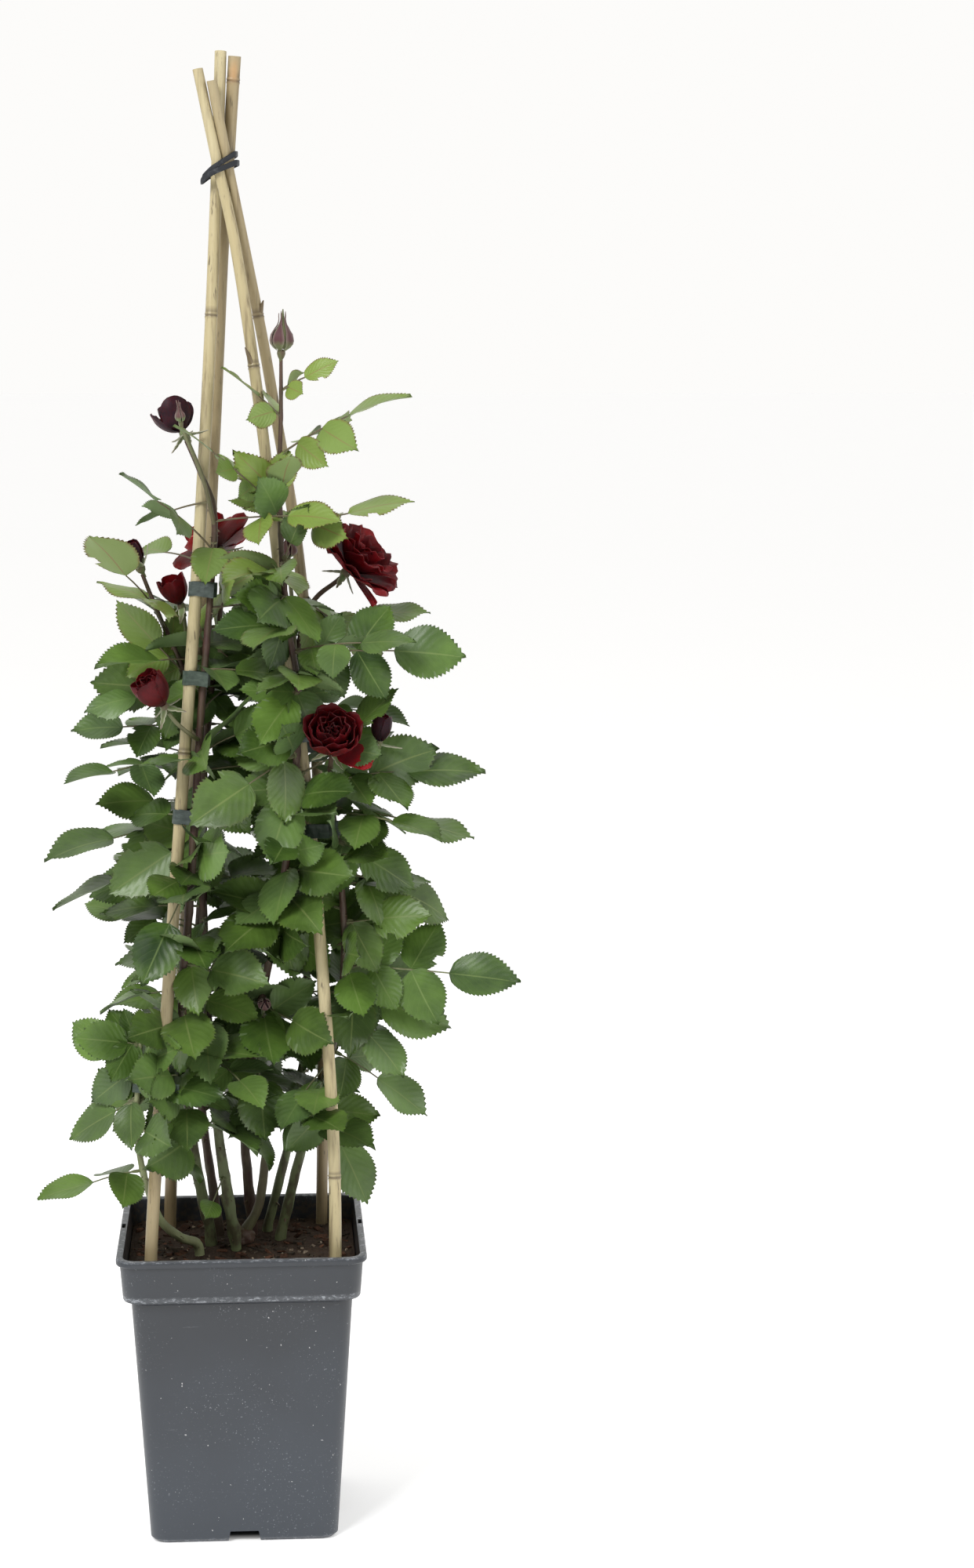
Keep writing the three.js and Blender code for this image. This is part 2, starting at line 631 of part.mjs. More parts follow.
function channelSolid(quarter) {
  const outline = new THREE.Shape([
    new THREE.Vector2(-CHANNEL_WIDTH / 2, -1),
    new THREE.Vector2(CHANNEL_WIDTH / 2, -1),
    new THREE.Vector2(CHANNEL_TOP_WIDTH / 2, CHANNEL_HEIGHT),
    new THREE.Vector2(-CHANNEL_TOP_WIDTH / 2, CHANNEL_HEIGHT),
  ]);
  const channel = new THREE.ExtrudeGeometry(outline, { depth: CHANNEL_LENGTH, bevelEnabled: false });
  channel.rotateX(Math.PI / 2);
  channel.translate(0, POT_BASE_HALF + 3, 0);
  channel.rotateZ((quarter * Math.PI) / 2);
  const drain = new THREE.CylinderGeometry(DRAIN_RADIUS, DRAIN_RADIUS, POT_FLOOR * 2, DRAIN_SIDES);
  drain.rotateX(Math.PI / 2);
  drain.translate(0, POT_BASE_HALF - CHANNEL_LENGTH / 2, POT_FLOOR);
  drain.rotateZ((quarter * Math.PI) / 2);
  return solidOf(channel).add(solidOf(drain));
}

function potSolid() {
  const collarTop = POT_HEIGHT - POT_LIP_DEPTH;
  const inner = POT_CORNER - POT_WALL;
  const collarCorner = POT_CORNER + POT_COLLAR_SPREAD;
  const rings = [
    squareRing(POT_BASE_HALF - POT_FOOT_BEVEL, POT_CORNER - POT_FOOT_BEVEL, 0),
    squareRing(POT_BASE_HALF, POT_CORNER, POT_FOOT_BEVEL),
    squareRing(POT_NECK_HALF, POT_CORNER, POT_NECK_HEIGHT),
    squareRing(POT_COLLAR_HALF, collarCorner, POT_NECK_HEIGHT + POT_STEP_RISE),
    squareRing(POT_COLLAR_HALF + POT_COLLAR_SPREAD, collarCorner, collarTop),
    squareRing(POT_LIP_HALF, collarCorner, collarTop + 0.5),
    squareRing(POT_LIP_HALF, collarCorner, POT_HEIGHT - POT_LIP_BEVEL),
    squareRing(POT_LIP_HALF - POT_LIP_BEVEL, collarCorner - POT_LIP_BEVEL, POT_HEIGHT),
    squareRing(POT_LIP_HALF - POT_LIP_WIDTH, collarCorner - POT_WALL, POT_HEIGHT),
    squareRing(POT_COLLAR_HALF + POT_COLLAR_SPREAD - POT_WALL, collarCorner - POT_WALL, collarTop - 2),
    squareRing(POT_COLLAR_HALF - POT_WALL, collarCorner - POT_WALL, POT_NECK_HEIGHT + POT_STEP_RISE * 2),
    squareRing(POT_NECK_HALF - POT_WALL, inner, POT_NECK_HEIGHT + 3),
    squareRing(bodyHalfAt(POT_FLOOR) - POT_WALL, inner, POT_FLOOR),
  ];
  let pot = solidOf(loft(rings));
  for (let quarter = 0; quarter < 4; quarter += 1) pot = pot.subtract(channelSolid(quarter));
  for (const hand of [1, -1]) {
    const slot = new THREE.BoxGeometry(SLOT_WIDTH, SLOT_LENGTH, POT_LIP_DEPTH * 2);
    const slotRise = POT_HEIGHT + POT_LIP_DEPTH - SLOT_DEPTH;
    slot.translate(hand * (POT_LIP_HALF - SLOT_FROM_EDGE), SLOT_FROM_MIDDLE, slotRise);
    pot = pot.subtract(solidOf(slot));
  }
  return pot;
}

function soilSolid() {
  const inner = POT_CORNER - POT_WALL - SEAT_GAP;
  const wall = POT_WALL + SEAT_GAP;
  const draw = new Draw(SOIL_SEED);
  const crumbled = ({ half, lift }) => squareRing(half, Math.min(half * 0.6, inner + 12), SOIL_LEVEL + lift)
    .map((p) => p.setZ(p.z + draw.between(-SOIL_UNEVEN, SOIL_UNEVEN)));
  const rings = [
    squareRing(bodyHalfAt(POT_FLOOR + SEAT_GAP) - wall, inner, POT_FLOOR + SEAT_GAP),
    squareRing(POT_NECK_HALF - wall, inner, POT_NECK_HEIGHT + 3 + SEAT_GAP),
    squareRing(POT_COLLAR_HALF - wall, inner + 2, POT_NECK_HEIGHT + 8.5),
    squareRing(POT_COLLAR_HALF - wall, inner + 2, SOIL_LEVEL - 3),
    ...SOIL_MOUND.map(crumbled),
  ];
  let soil = solidOf(loft(rings));
  for (const cane of Object.values(CANES)) {
    soil = soil.subtract(holeRound(curveThrough(cane.points), caneStations(cane), CANE_SIDES));
  }
  for (const { points, radius } of Object.values(SHOOTS)) {
    const curve = curveThrough(points);
    soil = soil.subtract(holeRound(curve, evenStations(curve, radius, STEM_STEP), STEM_SIDES));
  }
  return soil.subtract(crownSolid(HOLE_GAP));
}

function caneStations(cane) {
  const curve = curveThrough(cane.points);
  const stations = Array.from({ length: CANE_STEPS + 1 }, (_, i) => [i / CANE_STEPS, 0]);
  for (const height of cane.knots) {
    for (const [lift, swell] of [[-CANE_KNOT_HEIGHT, 0], [0, CANE_KNOT], [CANE_KNOT_HEIGHT, 0]]) {
      stations.push([shareAtHeight(curve, height + lift), swell]);
    }
  }
  stations.sort((a, b) => a[0] - b[0]);
  return stations.map(([share, swell]) => [share, THREE.MathUtils.lerp(...cane.radius, share) + swell]);
}

function caneSolid(cane) {
  return solidOf(rod(curveThrough(cane.points), caneStations(cane), CANE_SIDES));
}

function crownSolid(grow) {
  const knob = new THREE.SphereGeometry(CROWN.radius + grow, CROWN.sides, CROWN.rings);
  knob.rotateX(Math.PI / 2);
  knob.scale(1, 1, CROWN.flatten);
  knob.translate(...CROWN.centre);
  return STUBS.reduce(
    (solid, stub) => solid.add(solidOf(taperedRod(stub.points, stub.radius.map((r) => r + grow), STUB_STEP))),
    solidOf(knob),
  );
}

// The loop round two neighbouring circles in a plane: the outline of a tie or of the rubber band.
function loopPath(path, circles, grow) {
  const [first, second] = circles;
  const heading = Math.atan2(second.y - first.y, second.x - first.x);
  for (const [circle, from] of [[second, heading - Math.PI / 2], [first, heading + Math.PI / 2]]) {
    for (let i = 0; i <= TIE_ARC_STEPS; i += 1) {
      const angle = from + (i / TIE_ARC_STEPS) * Math.PI;
      const reach = (circle.radius + grow) / Math.cos(Math.PI / TIE_ARC_STEPS / 2);
      const x = circle.x + reach * Math.cos(angle);
      const y = circle.y + reach * Math.sin(angle);
      if (path.curves.length === 0 && path.currentPoint.length() === 0) path.moveTo(x, y);
      else path.lineTo(x, y);
    }
  }
  path.closePath();
  return path;
}

function loopGeometry(circles, clearance, thickness, width) {
  const outline = loopPath(new THREE.Shape(), circles, clearance + thickness);
  outline.holes.push(loopPath(new THREE.Path(), circles, clearance));
  const loop = new THREE.ExtrudeGeometry(outline, { depth: width, bevelEnabled: false });
  loop.translate(0, 0, -width / 2);
  return loop;
}

function tieSolid([caneName, shootName, height]) {
  const caneCurve = curveThrough(CANES[caneName].points);
  const shootCurve = curveThrough(SHOOTS[shootName].points);
  const share = shareAtHeight(caneCurve, height);
  const centre = caneCurve.getPoint(share);
  const upright = caneCurve.getTangent(share);
  const turn = new THREE.Quaternion().setFromUnitVectors(UP, upright);
  const shootShare = shareAtHeight(shootCurve, height);
  const local = shootCurve.getPoint(shootShare).sub(centre).applyQuaternion(turn.clone().invert());
  const caneRadius = THREE.MathUtils.lerp(...CANES[caneName].radius, share);
  const shootRadius = THREE.MathUtils.lerp(...SHOOTS[shootName].radius, shootShare);
  const circles = [
    { x: 0, y: 0, radius: caneRadius },
    { x: local.x, y: local.y, radius: shootRadius + TIE_STEM_ROOM },
  ];
  const loop = loopGeometry(circles, TIE_CLEARANCE, TIE_THICKNESS, TIE_WIDTH);
  loop.applyQuaternion(turn);
  loop.translate(...centre.toArray());
  return solidOf(loop);
}

// Two turns of a flat rubber band drawn tight round the canes, with a slack bight on the left.
function bandSolid() {
  const circles = Object.values(CANES).map((cane) => {
    const curve = curveThrough(cane.points);
    const share = shareAtHeight(curve, BAND_HEIGHT);
    return { centre: curve.getPoint(share), radius: THREE.MathUtils.lerp(...cane.radius, share) };
  });
  const turn = ({ offset, lift, tilt }) => {
    const rings = [];
    for (let i = 0; i < BAND_STEPS; i += 1) {
      const angle = (i / BAND_STEPS) * 2 * Math.PI;
      const normal = new THREE.Vector3(Math.cos(angle), Math.sin(angle), 0);
      const reach = ({ centre, radius }) => centre.dot(normal) + radius;
      const outer = circles.reduce((best, circle) => (reach(circle) > reach(best) ? circle : best));
      const slack = BAND_SLACK * Math.max(0, -Math.cos(angle)) ** 6;
      const gap = outer.radius + BAND_GAP + offset + slack + BAND_THICKNESS / 2;
      const middle = outer.centre.clone().setZ(BAND_HEIGHT + lift).addScaledVector(normal, gap);
      middle.z += middle.x * Math.tan(radians(tilt)) - slack * 0.5;
      const corner = (u, v) => middle.clone()
        .addScaledVector(normal, (u * BAND_THICKNESS) / 2)
        .addScaledVector(UP, (v * BAND_WIDTH) / 2);
      rings.push([corner(-1, -1), corner(-1, 1), corner(1, 1), corner(1, -1)]);
    }
    return solidOf(closedLoft(rings));
  };
  return wasm.Manifold.union(BAND_TURNS.map(turn));
}

// A skin over rings that follow one another in a circle.
function closedLoft(rings) {
  const count = rings[0].length;
  const faces = [];
  for (let r = 0; r < rings.length; r += 1) {
    const next = ((r + 1) % rings.length) * count;
    for (let i = 0; i < count; i += 1) {
      const j = (i + 1) % count;
      faces.push([r * count + i, next + j, next + i], [r * count + i, r * count + j, next + j]);
    }
  }
  return indexedGeometry(rings.flat(), faces);
}

function bloomFrame(bloom) {
  const axis = vector(bloom.axis).normalize();
  const side = Math.abs(axis.z) > 0.95 ? new THREE.Vector3(1, 0, 0) : UP;
  const out = new THREE.Vector3().crossVectors(axis, side).normalize();
  const across = new THREE.Vector3().crossVectors(axis, out);
  const place = (radius, angle, height) => vector(bloom.at)
    .addScaledVector(out, radius * Math.cos(angle))
    .addScaledVector(across, radius * Math.sin(angle))
    .addScaledVector(axis, height);
  const spoke = (angle) => out.clone().multiplyScalar(Math.cos(angle)).addScaledVector(across, Math.sin(angle));
  return { axis, place, spoke };
}

function ringsAlong(frame, stations, sides) {
  return stations.map(([height, radius]) => Array.from(
    { length: sides },
    (_, i) => frame.place(radius, (i / sides) * 2 * Math.PI, height),
  ));
}

function hipSolid(bloom) {
  const frame = bloomFrame(bloom);
  const profile = [[-HIP_NECK, 1], [HIP_HEIGHT * 0.5, bloom.hip], [HIP_HEIGHT, bloom.hip * 0.8]];
  const hip = solidOf(loft(ringsAlong(frame, profile, STEM_SIDES)));
  return bloom.sepals ? hip.add(sepalStar(bloom, frame)) : hip;
}

// The sepals of a bloom as one thin star cut in to the hip.
function sepalStar({ hip, sepals, sepalOpen }, frame) {
  const lean = radians(sepalOpen);
  const seat = HIP_HEIGHT * SEPAL_SEAT.height;
  const sheet = new Sheet();
  const facing = (angle) => frame.spoke(angle).multiplyScalar(Math.cos(lean))
    .addScaledVector(frame.axis, -Math.sin(lean));
  const centre = sheet.add(frame.place(0, 0, seat), frame.axis.clone().negate(), SEPAL_THICKNESS);
  const angles = Array.from({ length: sepals }, (_, i) => (i / sepals) * 2 * Math.PI + SEPAL_TURN);
  const notches = angles.map((angle) => {
    const at = angle - Math.PI / sepals;
    const height = seat + hip * SEPAL_NOTCH.rise * Math.cos(lean);
    return sheet.add(frame.place(hip * SEPAL_NOTCH.radius, at, height), facing(at), SEPAL_THICKNESS);
  });
  angles.forEach((angle, i) => {
    const heading = frame.spoke(angle)
      .multiplyScalar(Math.sin(lean))
      .addScaledVector(frame.axis, Math.cos(lean));
    const normal = facing(angle);
    const side = normal.clone().cross(heading);
    const add = (along, across, thickness) => sheet.add(
      frame.place(hip * SEPAL_SEAT.radius, angle, seat)
        .addScaledVector(heading, along * SEPAL_LENGTH)
        .addScaledVector(side, (across * SEPAL_WIDTH) / 2),
      normal,
      thickness,
    );
    const [before, after] = [notches[i], notches[(i + 1) % sepals]];
    const [rib, tip] = [add(SEPAL_RIB_AT, 0, SEPAL_THICKNESS), add(1, 0, 0)];
    const [left, right] = [add(SEPAL_WIDE_AT, 1, 0), add(SEPAL_WIDE_AT, -1, 0)];
    sheet.face(centre, rib, before);
    sheet.face(after, rib, centre);
    sheet.face(rib, left, before);
    sheet.face(rib, tip, left);
    sheet.face(rib, after, right);
    sheet.face(rib, right, tip);
  });
  return solidOf(sheet.geometry());
}

// A petal rises from the hip and opens out or curls in; its two sides wrap round the flower's axis.
function petalSolid(frame, angle, [count, low, high, length, width], tier) {
  const start = HIP_HEIGHT + SEAT_GAP + PETAL_FOOT.height + tier * PETAL_FOOT.rise;
  const rows = [{ radius: PETAL_FOOT.radius - tier * PETAL_FOOT.inset, height: start, lean: radians(low) }];
  for (const share of [0.25, 0.75]) {
    const last = rows.at(-1);
    const lean = radians(THREE.MathUtils.lerp(low, high, share));
    rows.push({
      radius: last.radius + (length / 2) * Math.sin(lean),
      height: last.height + (length / 2) * Math.cos(lean),
      lean,
    });
  }
  const sheet = new Sheet();
  const add = ({ radius, height, lean }, share, hand, thickness) => {
    const wrap = Math.min((width * share) / 2 / radius, (PETAL_WRAP * Math.PI) / count);
    const at = angle - hand * wrap;
    const normal = frame.spoke(at).multiplyScalar(Math.cos(lean)).addScaledVector(frame.axis, -Math.sin(lean));
    return sheet.add(frame.place(radius, at, height), normal, thickness);
  };
  const [base, middle, rim] = rows;
  const shoulder = {
    radius: THREE.MathUtils.lerp(middle.radius, rim.radius, PETAL_SHOULDER),
    height: THREE.MathUtils.lerp(middle.height, rim.height, PETAL_SHOULDER),
    lean: rim.lean,
  };
  const [l0, r0] = [1, -1].map((hand) => add(base, PETAL_FOOT_WIDTH, hand, PETAL_THICKNESS));
  const [l1, m1, r1] = [add(middle, 1, 1, 0), add(middle, 0, 0, PETAL_THICKNESS), add(middle, 1, -1, 0)];
  const [l2, r2] = [1, -1].map((hand) => add(shoulder, PETAL_SHOULDER, hand, 0));
  const m2 = add(rim, 0, 0, 0);
  sheet.face(r0, r1, m1);
  sheet.face(r0, m1, l0);
  sheet.face(l0, m1, l1);
  sheet.face(r1, r2, m2);
  sheet.face(r1, m2, m1);
  sheet.face(m1, m2, l2);
  sheet.face(m1, l2, l1);
  return solidOf(sheet.geometry());
}

function bloomSolid(bloom, seed) {
  const frame = bloomFrame(bloom);
  const foot = HIP_HEIGHT + SEAT_GAP;
  if (bloom.shut) {
    const [radius, height] = bloom.shut;
    const profile = SHUT_PROFILE.map(([share, width]) => [foot + share * height, width * radius]);
    return solidOf(loft(ringsAlong(frame, profile, CORE_SIDES)));
  }
  const [coreRadius, coreHeight] = bloom.core;
  const profile = CORE_PROFILE.map(([share, width]) => [foot + share * coreHeight, width * coreRadius]);
  let solid = solidOf(loft(ringsAlong(frame, profile, CORE_SIDES)));
  const draw = new Draw(seed);
  for (const [depth, layer] of bloom.layers.entries()) {
    const tier = bloom.layers.length - 1 - depth;
    const from = draw.between(0, 2 * Math.PI);
    for (let i = 0; i < layer[0]; i += 1) {
      const angle = from + ((i + draw.between(-0.1, 0.1)) / layer[0]) * 2 * Math.PI;
      solid = solid.add(petalSolid(frame, angle, layer, tier));
    }
  }
  return solid;
}

function thornSolid(curve, radii, height, angle) {
  const share = shareAtHeight(curve, height);
  const length = THREE.MathUtils.lerp(...radii, share) + THORN_LENGTH;
  const outward = new THREE.Vector3(Math.cos(angle), Math.sin(angle), -THORN_DROP).normalize();
  const thorn = new THREE.ConeGeometry(THORN_RADIUS, length, 3);
  thorn.applyQuaternion(new THREE.Quaternion().setFromUnitVectors(new THREE.Vector3(0, 1, 0), outward));
  const centre = curve.getPoint(share).addScaledVector(outward, length / 2);
  thorn.translate(...centre.toArray());
  return solidOf(thorn);
}

// The bare part of a shoot: its stem, the stalks off it, and the hips and sepals on them.
function stemSolid(name) {
  const shoot = SHOOTS[name];
  const curve = curveThrough(shoot.points);
  const parts = [solidOf(taperedRod(shoot.points, shoot.radius))];
  for (const stalk of Object.values(STALKS).filter(({ shoot: owner }) => owner === name)) {
    const root = pointAtHeight(curve, stalk.from).toArray();
    parts.push(solidOf(taperedRod([root, ...stalk.points], STALK_RADIUS, STALK_STEP)));
  }
  for (const bloom of Object.values(BLOOMS).filter(({ on }) => on === name)) parts.push(hipSolid(bloom));
  return wasm.Manifold.union(parts);
}

function thorny(name, stem, seed) {
  const { points, radius } = SHOOTS[name];
  const curve = curveThrough(points);
  const draw = new Draw(seed);
  const top = Math.min(THORN_TOP, points.at(-1)[2] - 30);
  let solid = stem;
  for (let height = SOIL_LEVEL + THORN_FIRST; height < top; height += THORN_SPACING) {
    const at = height + draw.between(0, THORN_SPREAD);
    const thorn = thornSolid(curve, radius, at, draw.between(0, 2 * Math.PI));
    if (isClear(thorn, name)) solid = solid.add(thorn);
  }
  return solid;
}

function leafSolid([name, height, tip, leaflets, length, face], seed) {
  const root = pointAtHeight(curveThrough(SHOOTS[name].points), height);
  const reach = vector(tip).sub(root);
  for (const [turn, tilt] of bends()) {
    const leaf = compoundLeaf(root, bent(reach, reach, turn, tilt), bent(vector(FACING[face]), reach, turn, tilt),
      leaflets, length, new Draw(seed));
    if (isClear(leaf, name)) return leaf;
  }
  return null;
}

const plant = new THREE.Group();

function addNode(name, solid, { color, roughness, metalness = 0 }) {
  const material = new THREE.MeshStandardMaterial({ color, roughness, metalness });
  const mesh = new THREE.Mesh(geometryOf(solid), material);
  mesh.name = name;
  plant.add(mesh);
}

const FINISHES = {
  pot: { color: 0x54585d, roughness: 0.5 },
  soil: { color: 0x2a1f1a, roughness: 1 },
  cane: { color: 0xb0a078, roughness: 0.55 },
  rubber: { color: 0x23262b, roughness: 0.6 },
  tape: { color: 0x3c5048, roughness: 0.45 },
  wood: { color: 0x5e5a3a, roughness: 0.8 },
  leaf: { color: 0x3a6a30, roughness: 0.5 },
  petal: { color: 0x5a0a12, roughness: 0.6 },
  bud: { color: 0x6a3a44, roughness: 0.6 },
};

const fixed = { pot: ['pot', potSolid()], soil: ['soil', soilSolid()] };
for (const [name, cane] of Object.entries(CANES)) fixed[`cane_${name}`] = ['cane', caneSolid(cane)];
fixed.cane_band = ['rubber', bandSolid()];
TIES.forEach((tie, i) => { fixed[`tie_${i + 1}`] = ['tape', tieSolid(tie)]; });
fixed.rose_crown = ['wood', crownSolid(0)];
for (const [name, [finish, solid]] of Object.entries(fixed)) {
  addNode(name, solid, FINISHES[finish]);
  remember(solid, name);
}

Object.entries(BLOOMS).forEach(([name, bloom], i) => {
  const solid = bloomSolid(bloom, i + BLOOM_SEED);
  addNode(`bloom_${name}`, solid, bloom.shut ? FINISHES.bud : FINISHES.petal);
  remember(solid, name);
});

const stems = Object.fromEntries(Object.keys(SHOOTS).map((name) => [name, stemSolid(name)]));
for (const [name, stem] of Object.entries(stems)) remember(stem, name, true);
const shoots = Object.fromEntries(
  Object.keys(SHOOTS).map((name, i) => [name, [thorny(name, stems[name], i + THORN_SEED)]]),
);
LEAVES.forEach((row, i) => {
  const leaf = leafSolid(row, i + 1);
  if (!leaf) return;
  shoots[row[0]].push(leaf);
  remember(leaf, row[0]);
});
for (const [name, parts] of Object.entries(shoots)) {
  addNode(`shoot_${name}`, wasm.Manifold.union(parts), FINISHES.leaf);
}

export default plant;
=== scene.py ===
"""Finer looks of a potted climbing rose on bamboo canes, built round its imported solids."""

import logging
from collections.abc import Callable, Iterable, Sequence
from dataclasses import dataclass, field, replace
from enum import Enum
from math import atan2, copysign, cos, exp, pi, radians, sin, tan, tau
from random import Random

import bmesh
import bpy
from bmesh.types import BMEdge, BMesh, BMFace, BMVert
from bpy.types import Material, Mesh, Node, NodeSocket, Object
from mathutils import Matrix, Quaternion, Vector, kdtree, noise

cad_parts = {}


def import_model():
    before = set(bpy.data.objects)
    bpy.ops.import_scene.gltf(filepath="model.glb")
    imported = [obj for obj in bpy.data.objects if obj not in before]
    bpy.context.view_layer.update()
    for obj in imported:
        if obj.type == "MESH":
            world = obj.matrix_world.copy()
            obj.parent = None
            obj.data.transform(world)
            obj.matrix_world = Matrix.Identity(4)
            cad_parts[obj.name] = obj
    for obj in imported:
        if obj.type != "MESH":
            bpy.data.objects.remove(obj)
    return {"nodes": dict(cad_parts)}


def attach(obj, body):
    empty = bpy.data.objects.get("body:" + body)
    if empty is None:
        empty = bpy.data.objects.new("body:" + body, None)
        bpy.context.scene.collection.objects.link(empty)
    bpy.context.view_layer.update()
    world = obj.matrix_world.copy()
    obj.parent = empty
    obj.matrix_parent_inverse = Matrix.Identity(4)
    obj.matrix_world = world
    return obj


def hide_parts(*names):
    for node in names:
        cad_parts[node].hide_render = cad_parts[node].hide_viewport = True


LOG = logging.getLogger("climbing_rose")
MM = 0.001
UP = Vector((0, 0, 1))
TINT = "tint"
BLADE_MAP = "Blade"

Colour = tuple[float, float, float]
Spot = tuple[float, float, float]
# Rules over a sheet or a tube take the share across or round it and the share along it
Place = Callable[[float, float], Vector]
Number = Callable[[float, float], float]
Tint = Callable[[float, float], Colour]

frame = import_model()


class Slot(Enum):
    """Material slots of the record."""

    POT = "pot"
    SOIL = "soil"
    BAMBOO = "bamboo"
    BAND = "band"
    TAPE = "tape"
    WOOD = "rose_wood"
    PETAL = "petal"
    BUD = "bud"
    FOLIAGE = "foliage"


class Facing(Enum):
    """The way the upper side of a leaf faces."""

    UP = (0, -0.35, 1)
    FRONT = (0, -1, 0.45)
    LEFT = (-1, -0.5, 0.5)
    RIGHT = (1, -0.5, 0.5)
    BACK = (0, 1, 0.5)


def smooth(low: float, high: float, value: float) -> float:
    """A soft step from 0 at low to 1 at high."""
    share = min(max((value - low) / (high - low), 0.0), 1.0)
    return share * share * (3 - 2 * share)


def lerp(start: float, end: float, share: float) -> float:
    """The value a share of the way from start to end."""
    return start + (end - start) * share


def even(count: int) -> list[float]:
    """The shares from 0 to 1 in even steps."""
    return [i / count for i in range(count + 1)]


def spoke(angle: float) -> Vector:
    """The level way out at an angle."""
    return Vector((cos(angle), sin(angle), 0))


def bump_at(value: float, width: float) -> float:
    """A smooth bump that is 1 at 0 and falls away over a width."""
    return exp(-(value / width) ** 2)


def rims_of(faces: Iterable[BMFace]) -> list[BMEdge]:
    """The open edges of faces, each once."""
    return list({edge: None for face in faces if face.is_valid for edge in face.edges if edge.is_boundary})


def untinted(u: float, w: float) -> Colour:
    """No tint, wherever on a sheet."""
    return 0.0, 0.0, 0.0


def highest(faces: Iterable[BMFace]) -> BMFace:
    """The face that lies highest."""
    return max(faces, key=lambda face: face.calc_center_median().z)


def tree_of(points: Sequence[Vector]) -> kdtree.KDTree:
    """A tree that finds the nearest of some points.

    Args:
        points: The points.

    Returns:
        The balanced tree.
    """
    tree = kdtree.KDTree(len(points))
    for i, point in enumerate(points):
        tree.insert(point, i)
    tree.balance()
    return tree


def corners_of(shoot: str) -> kdtree.KDTree:
    """The corners of a shoot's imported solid."""
    return tree_of([vert.co for vert in frame["nodes"][f"shoot_{shoot}"].data.vertices])


def new_mesh(name: str, made: BMesh) -> Mesh:
    """Turns a finished bmesh into a named mesh.

    Args:
        name: The mesh's name.
        made: The bmesh, which is freed.

    Returns:
        The mesh.
    """
    data = bpy.data.meshes.new(name)
    made.to_mesh(data)
    made.free()
    return data


def new_object(name: str, data: bpy.types.ID) -> Object:
    """Puts an object into the scene.

    Args:
        name: The object's name.
        data: Its mesh, light or camera.

    Returns:
        The object.
    """
    obj = bpy.data.objects.new(name, data)
    bpy.context.collection.objects.link(obj)
    return obj


class Draw:
    """The repeatable draw of numbers that the plant's solids were laid out with."""

    PRIME, FACTOR = 2147483647, 48271
    SPREAD, OFFSET = 7919, 104729

    def __init__(self, seed: int) -> None:
        """Starts the draw from a seed."""
        self.state = (seed * self.SPREAD + self.OFFSET) % self.PRIME
        self.next()

    def next(self) -> float:
        """The next number, from 0 to 1."""
        self.state = (self.state * self.FACTOR) % self.PRIME
        return self.state / self.PRIME

    def between(self, low: float, high: float) -> float:
        """The next number, from low to high."""
        return low + (high - low) * self.next()


class Curve:
    """A smooth line through points given in millimetres; it hands back metres."""

    NEAR, HALVINGS, PARTS = 0.002, 40, 60

    def __init__(self, points: Sequence[Sequence[float]]) -> None:
        """Keeps the points that the line runs through."""
        self.points = [Vector(p) for p in points]

    def at(self, share: float) -> Vector:
        """The point at a share of the line.

        Args:
            share: The share.

        Returns:
            The point in metres.
        """
        last = len(self.points) - 1
        run = last * share
        i = min(int(run), last - 1)
        w = run - i
        p1, p2 = self.points[i], self.points[i + 1]
        p0 = self.points[i - 1] if i > 0 else p1 * 2 - p2
        p3 = self.points[i + 2] if i + 2 <= last else p2 * 2 - p1
        t0, t1 = (p2 - p0) * 0.5, (p3 - p1) * 0.5
        cubic = (p1 - p2) * 2 + t0 + t1
        square = (p2 - p1) * 3 - t0 * 2 - t1
        return (p1 + t0 * w + square * (w * w) + cubic * (w * w * w)) * MM

    def along(self, share: float) -> Vector:
        """The direction of the line at a share of it."""
        low, high = max(share - self.NEAR, 0.0), min(share + self.NEAR, 1.0)
        return (self.at(high) - self.at(low)).normalized()

    def share_at(self, height: float) -> float:
        """The share of the line at which it stands at a height.

        Args:
            height: The height in millimetres.

        Returns:
            The share.
        """
        low, high = 0.0, 1.0
        for _ in range(self.HALVINGS):
            middle = (low + high) / 2
            if self.at(middle).z < height * MM:
                low = middle
            else:
                high = middle
        return (low + high) / 2

    def length(self) -> float:
        """The length of the line in metres."""
        stops = [self.at(share) for share in even(self.PARTS)]
        return sum((b - a).length for a, b in zip(stops, stops[1:]))


# Shared sizes of the solids, in millimetres
SOIL_LEVEL, POT_HEIGHT = 221, 242
HIP_HEIGHT = 6.5
SEPAL_LENGTH, SEPAL_WIDTH = 18, 5.5
LEAF_STALK_HALF = 0.75
LEAFLET_SEAT = 0.8
LEAF_WIDTH_RATIO = 0.34
BEND_STEP, BEND_RINGS = 9, 4
THORN_LENGTH, THORN_SPACING, THORN_TOP = 4.6, 58, 560

# Where the picture was taken from, in metres
EYE = Vector((0.019, -2.547, 0.957))
# Leaflet tips further forward than this are bent back towards it, to this share of what they stood past it
FRONT_REACH, FRONT_EASE = -108 * MM, 0.4
GOLDEN_ANGLE = 2.39996
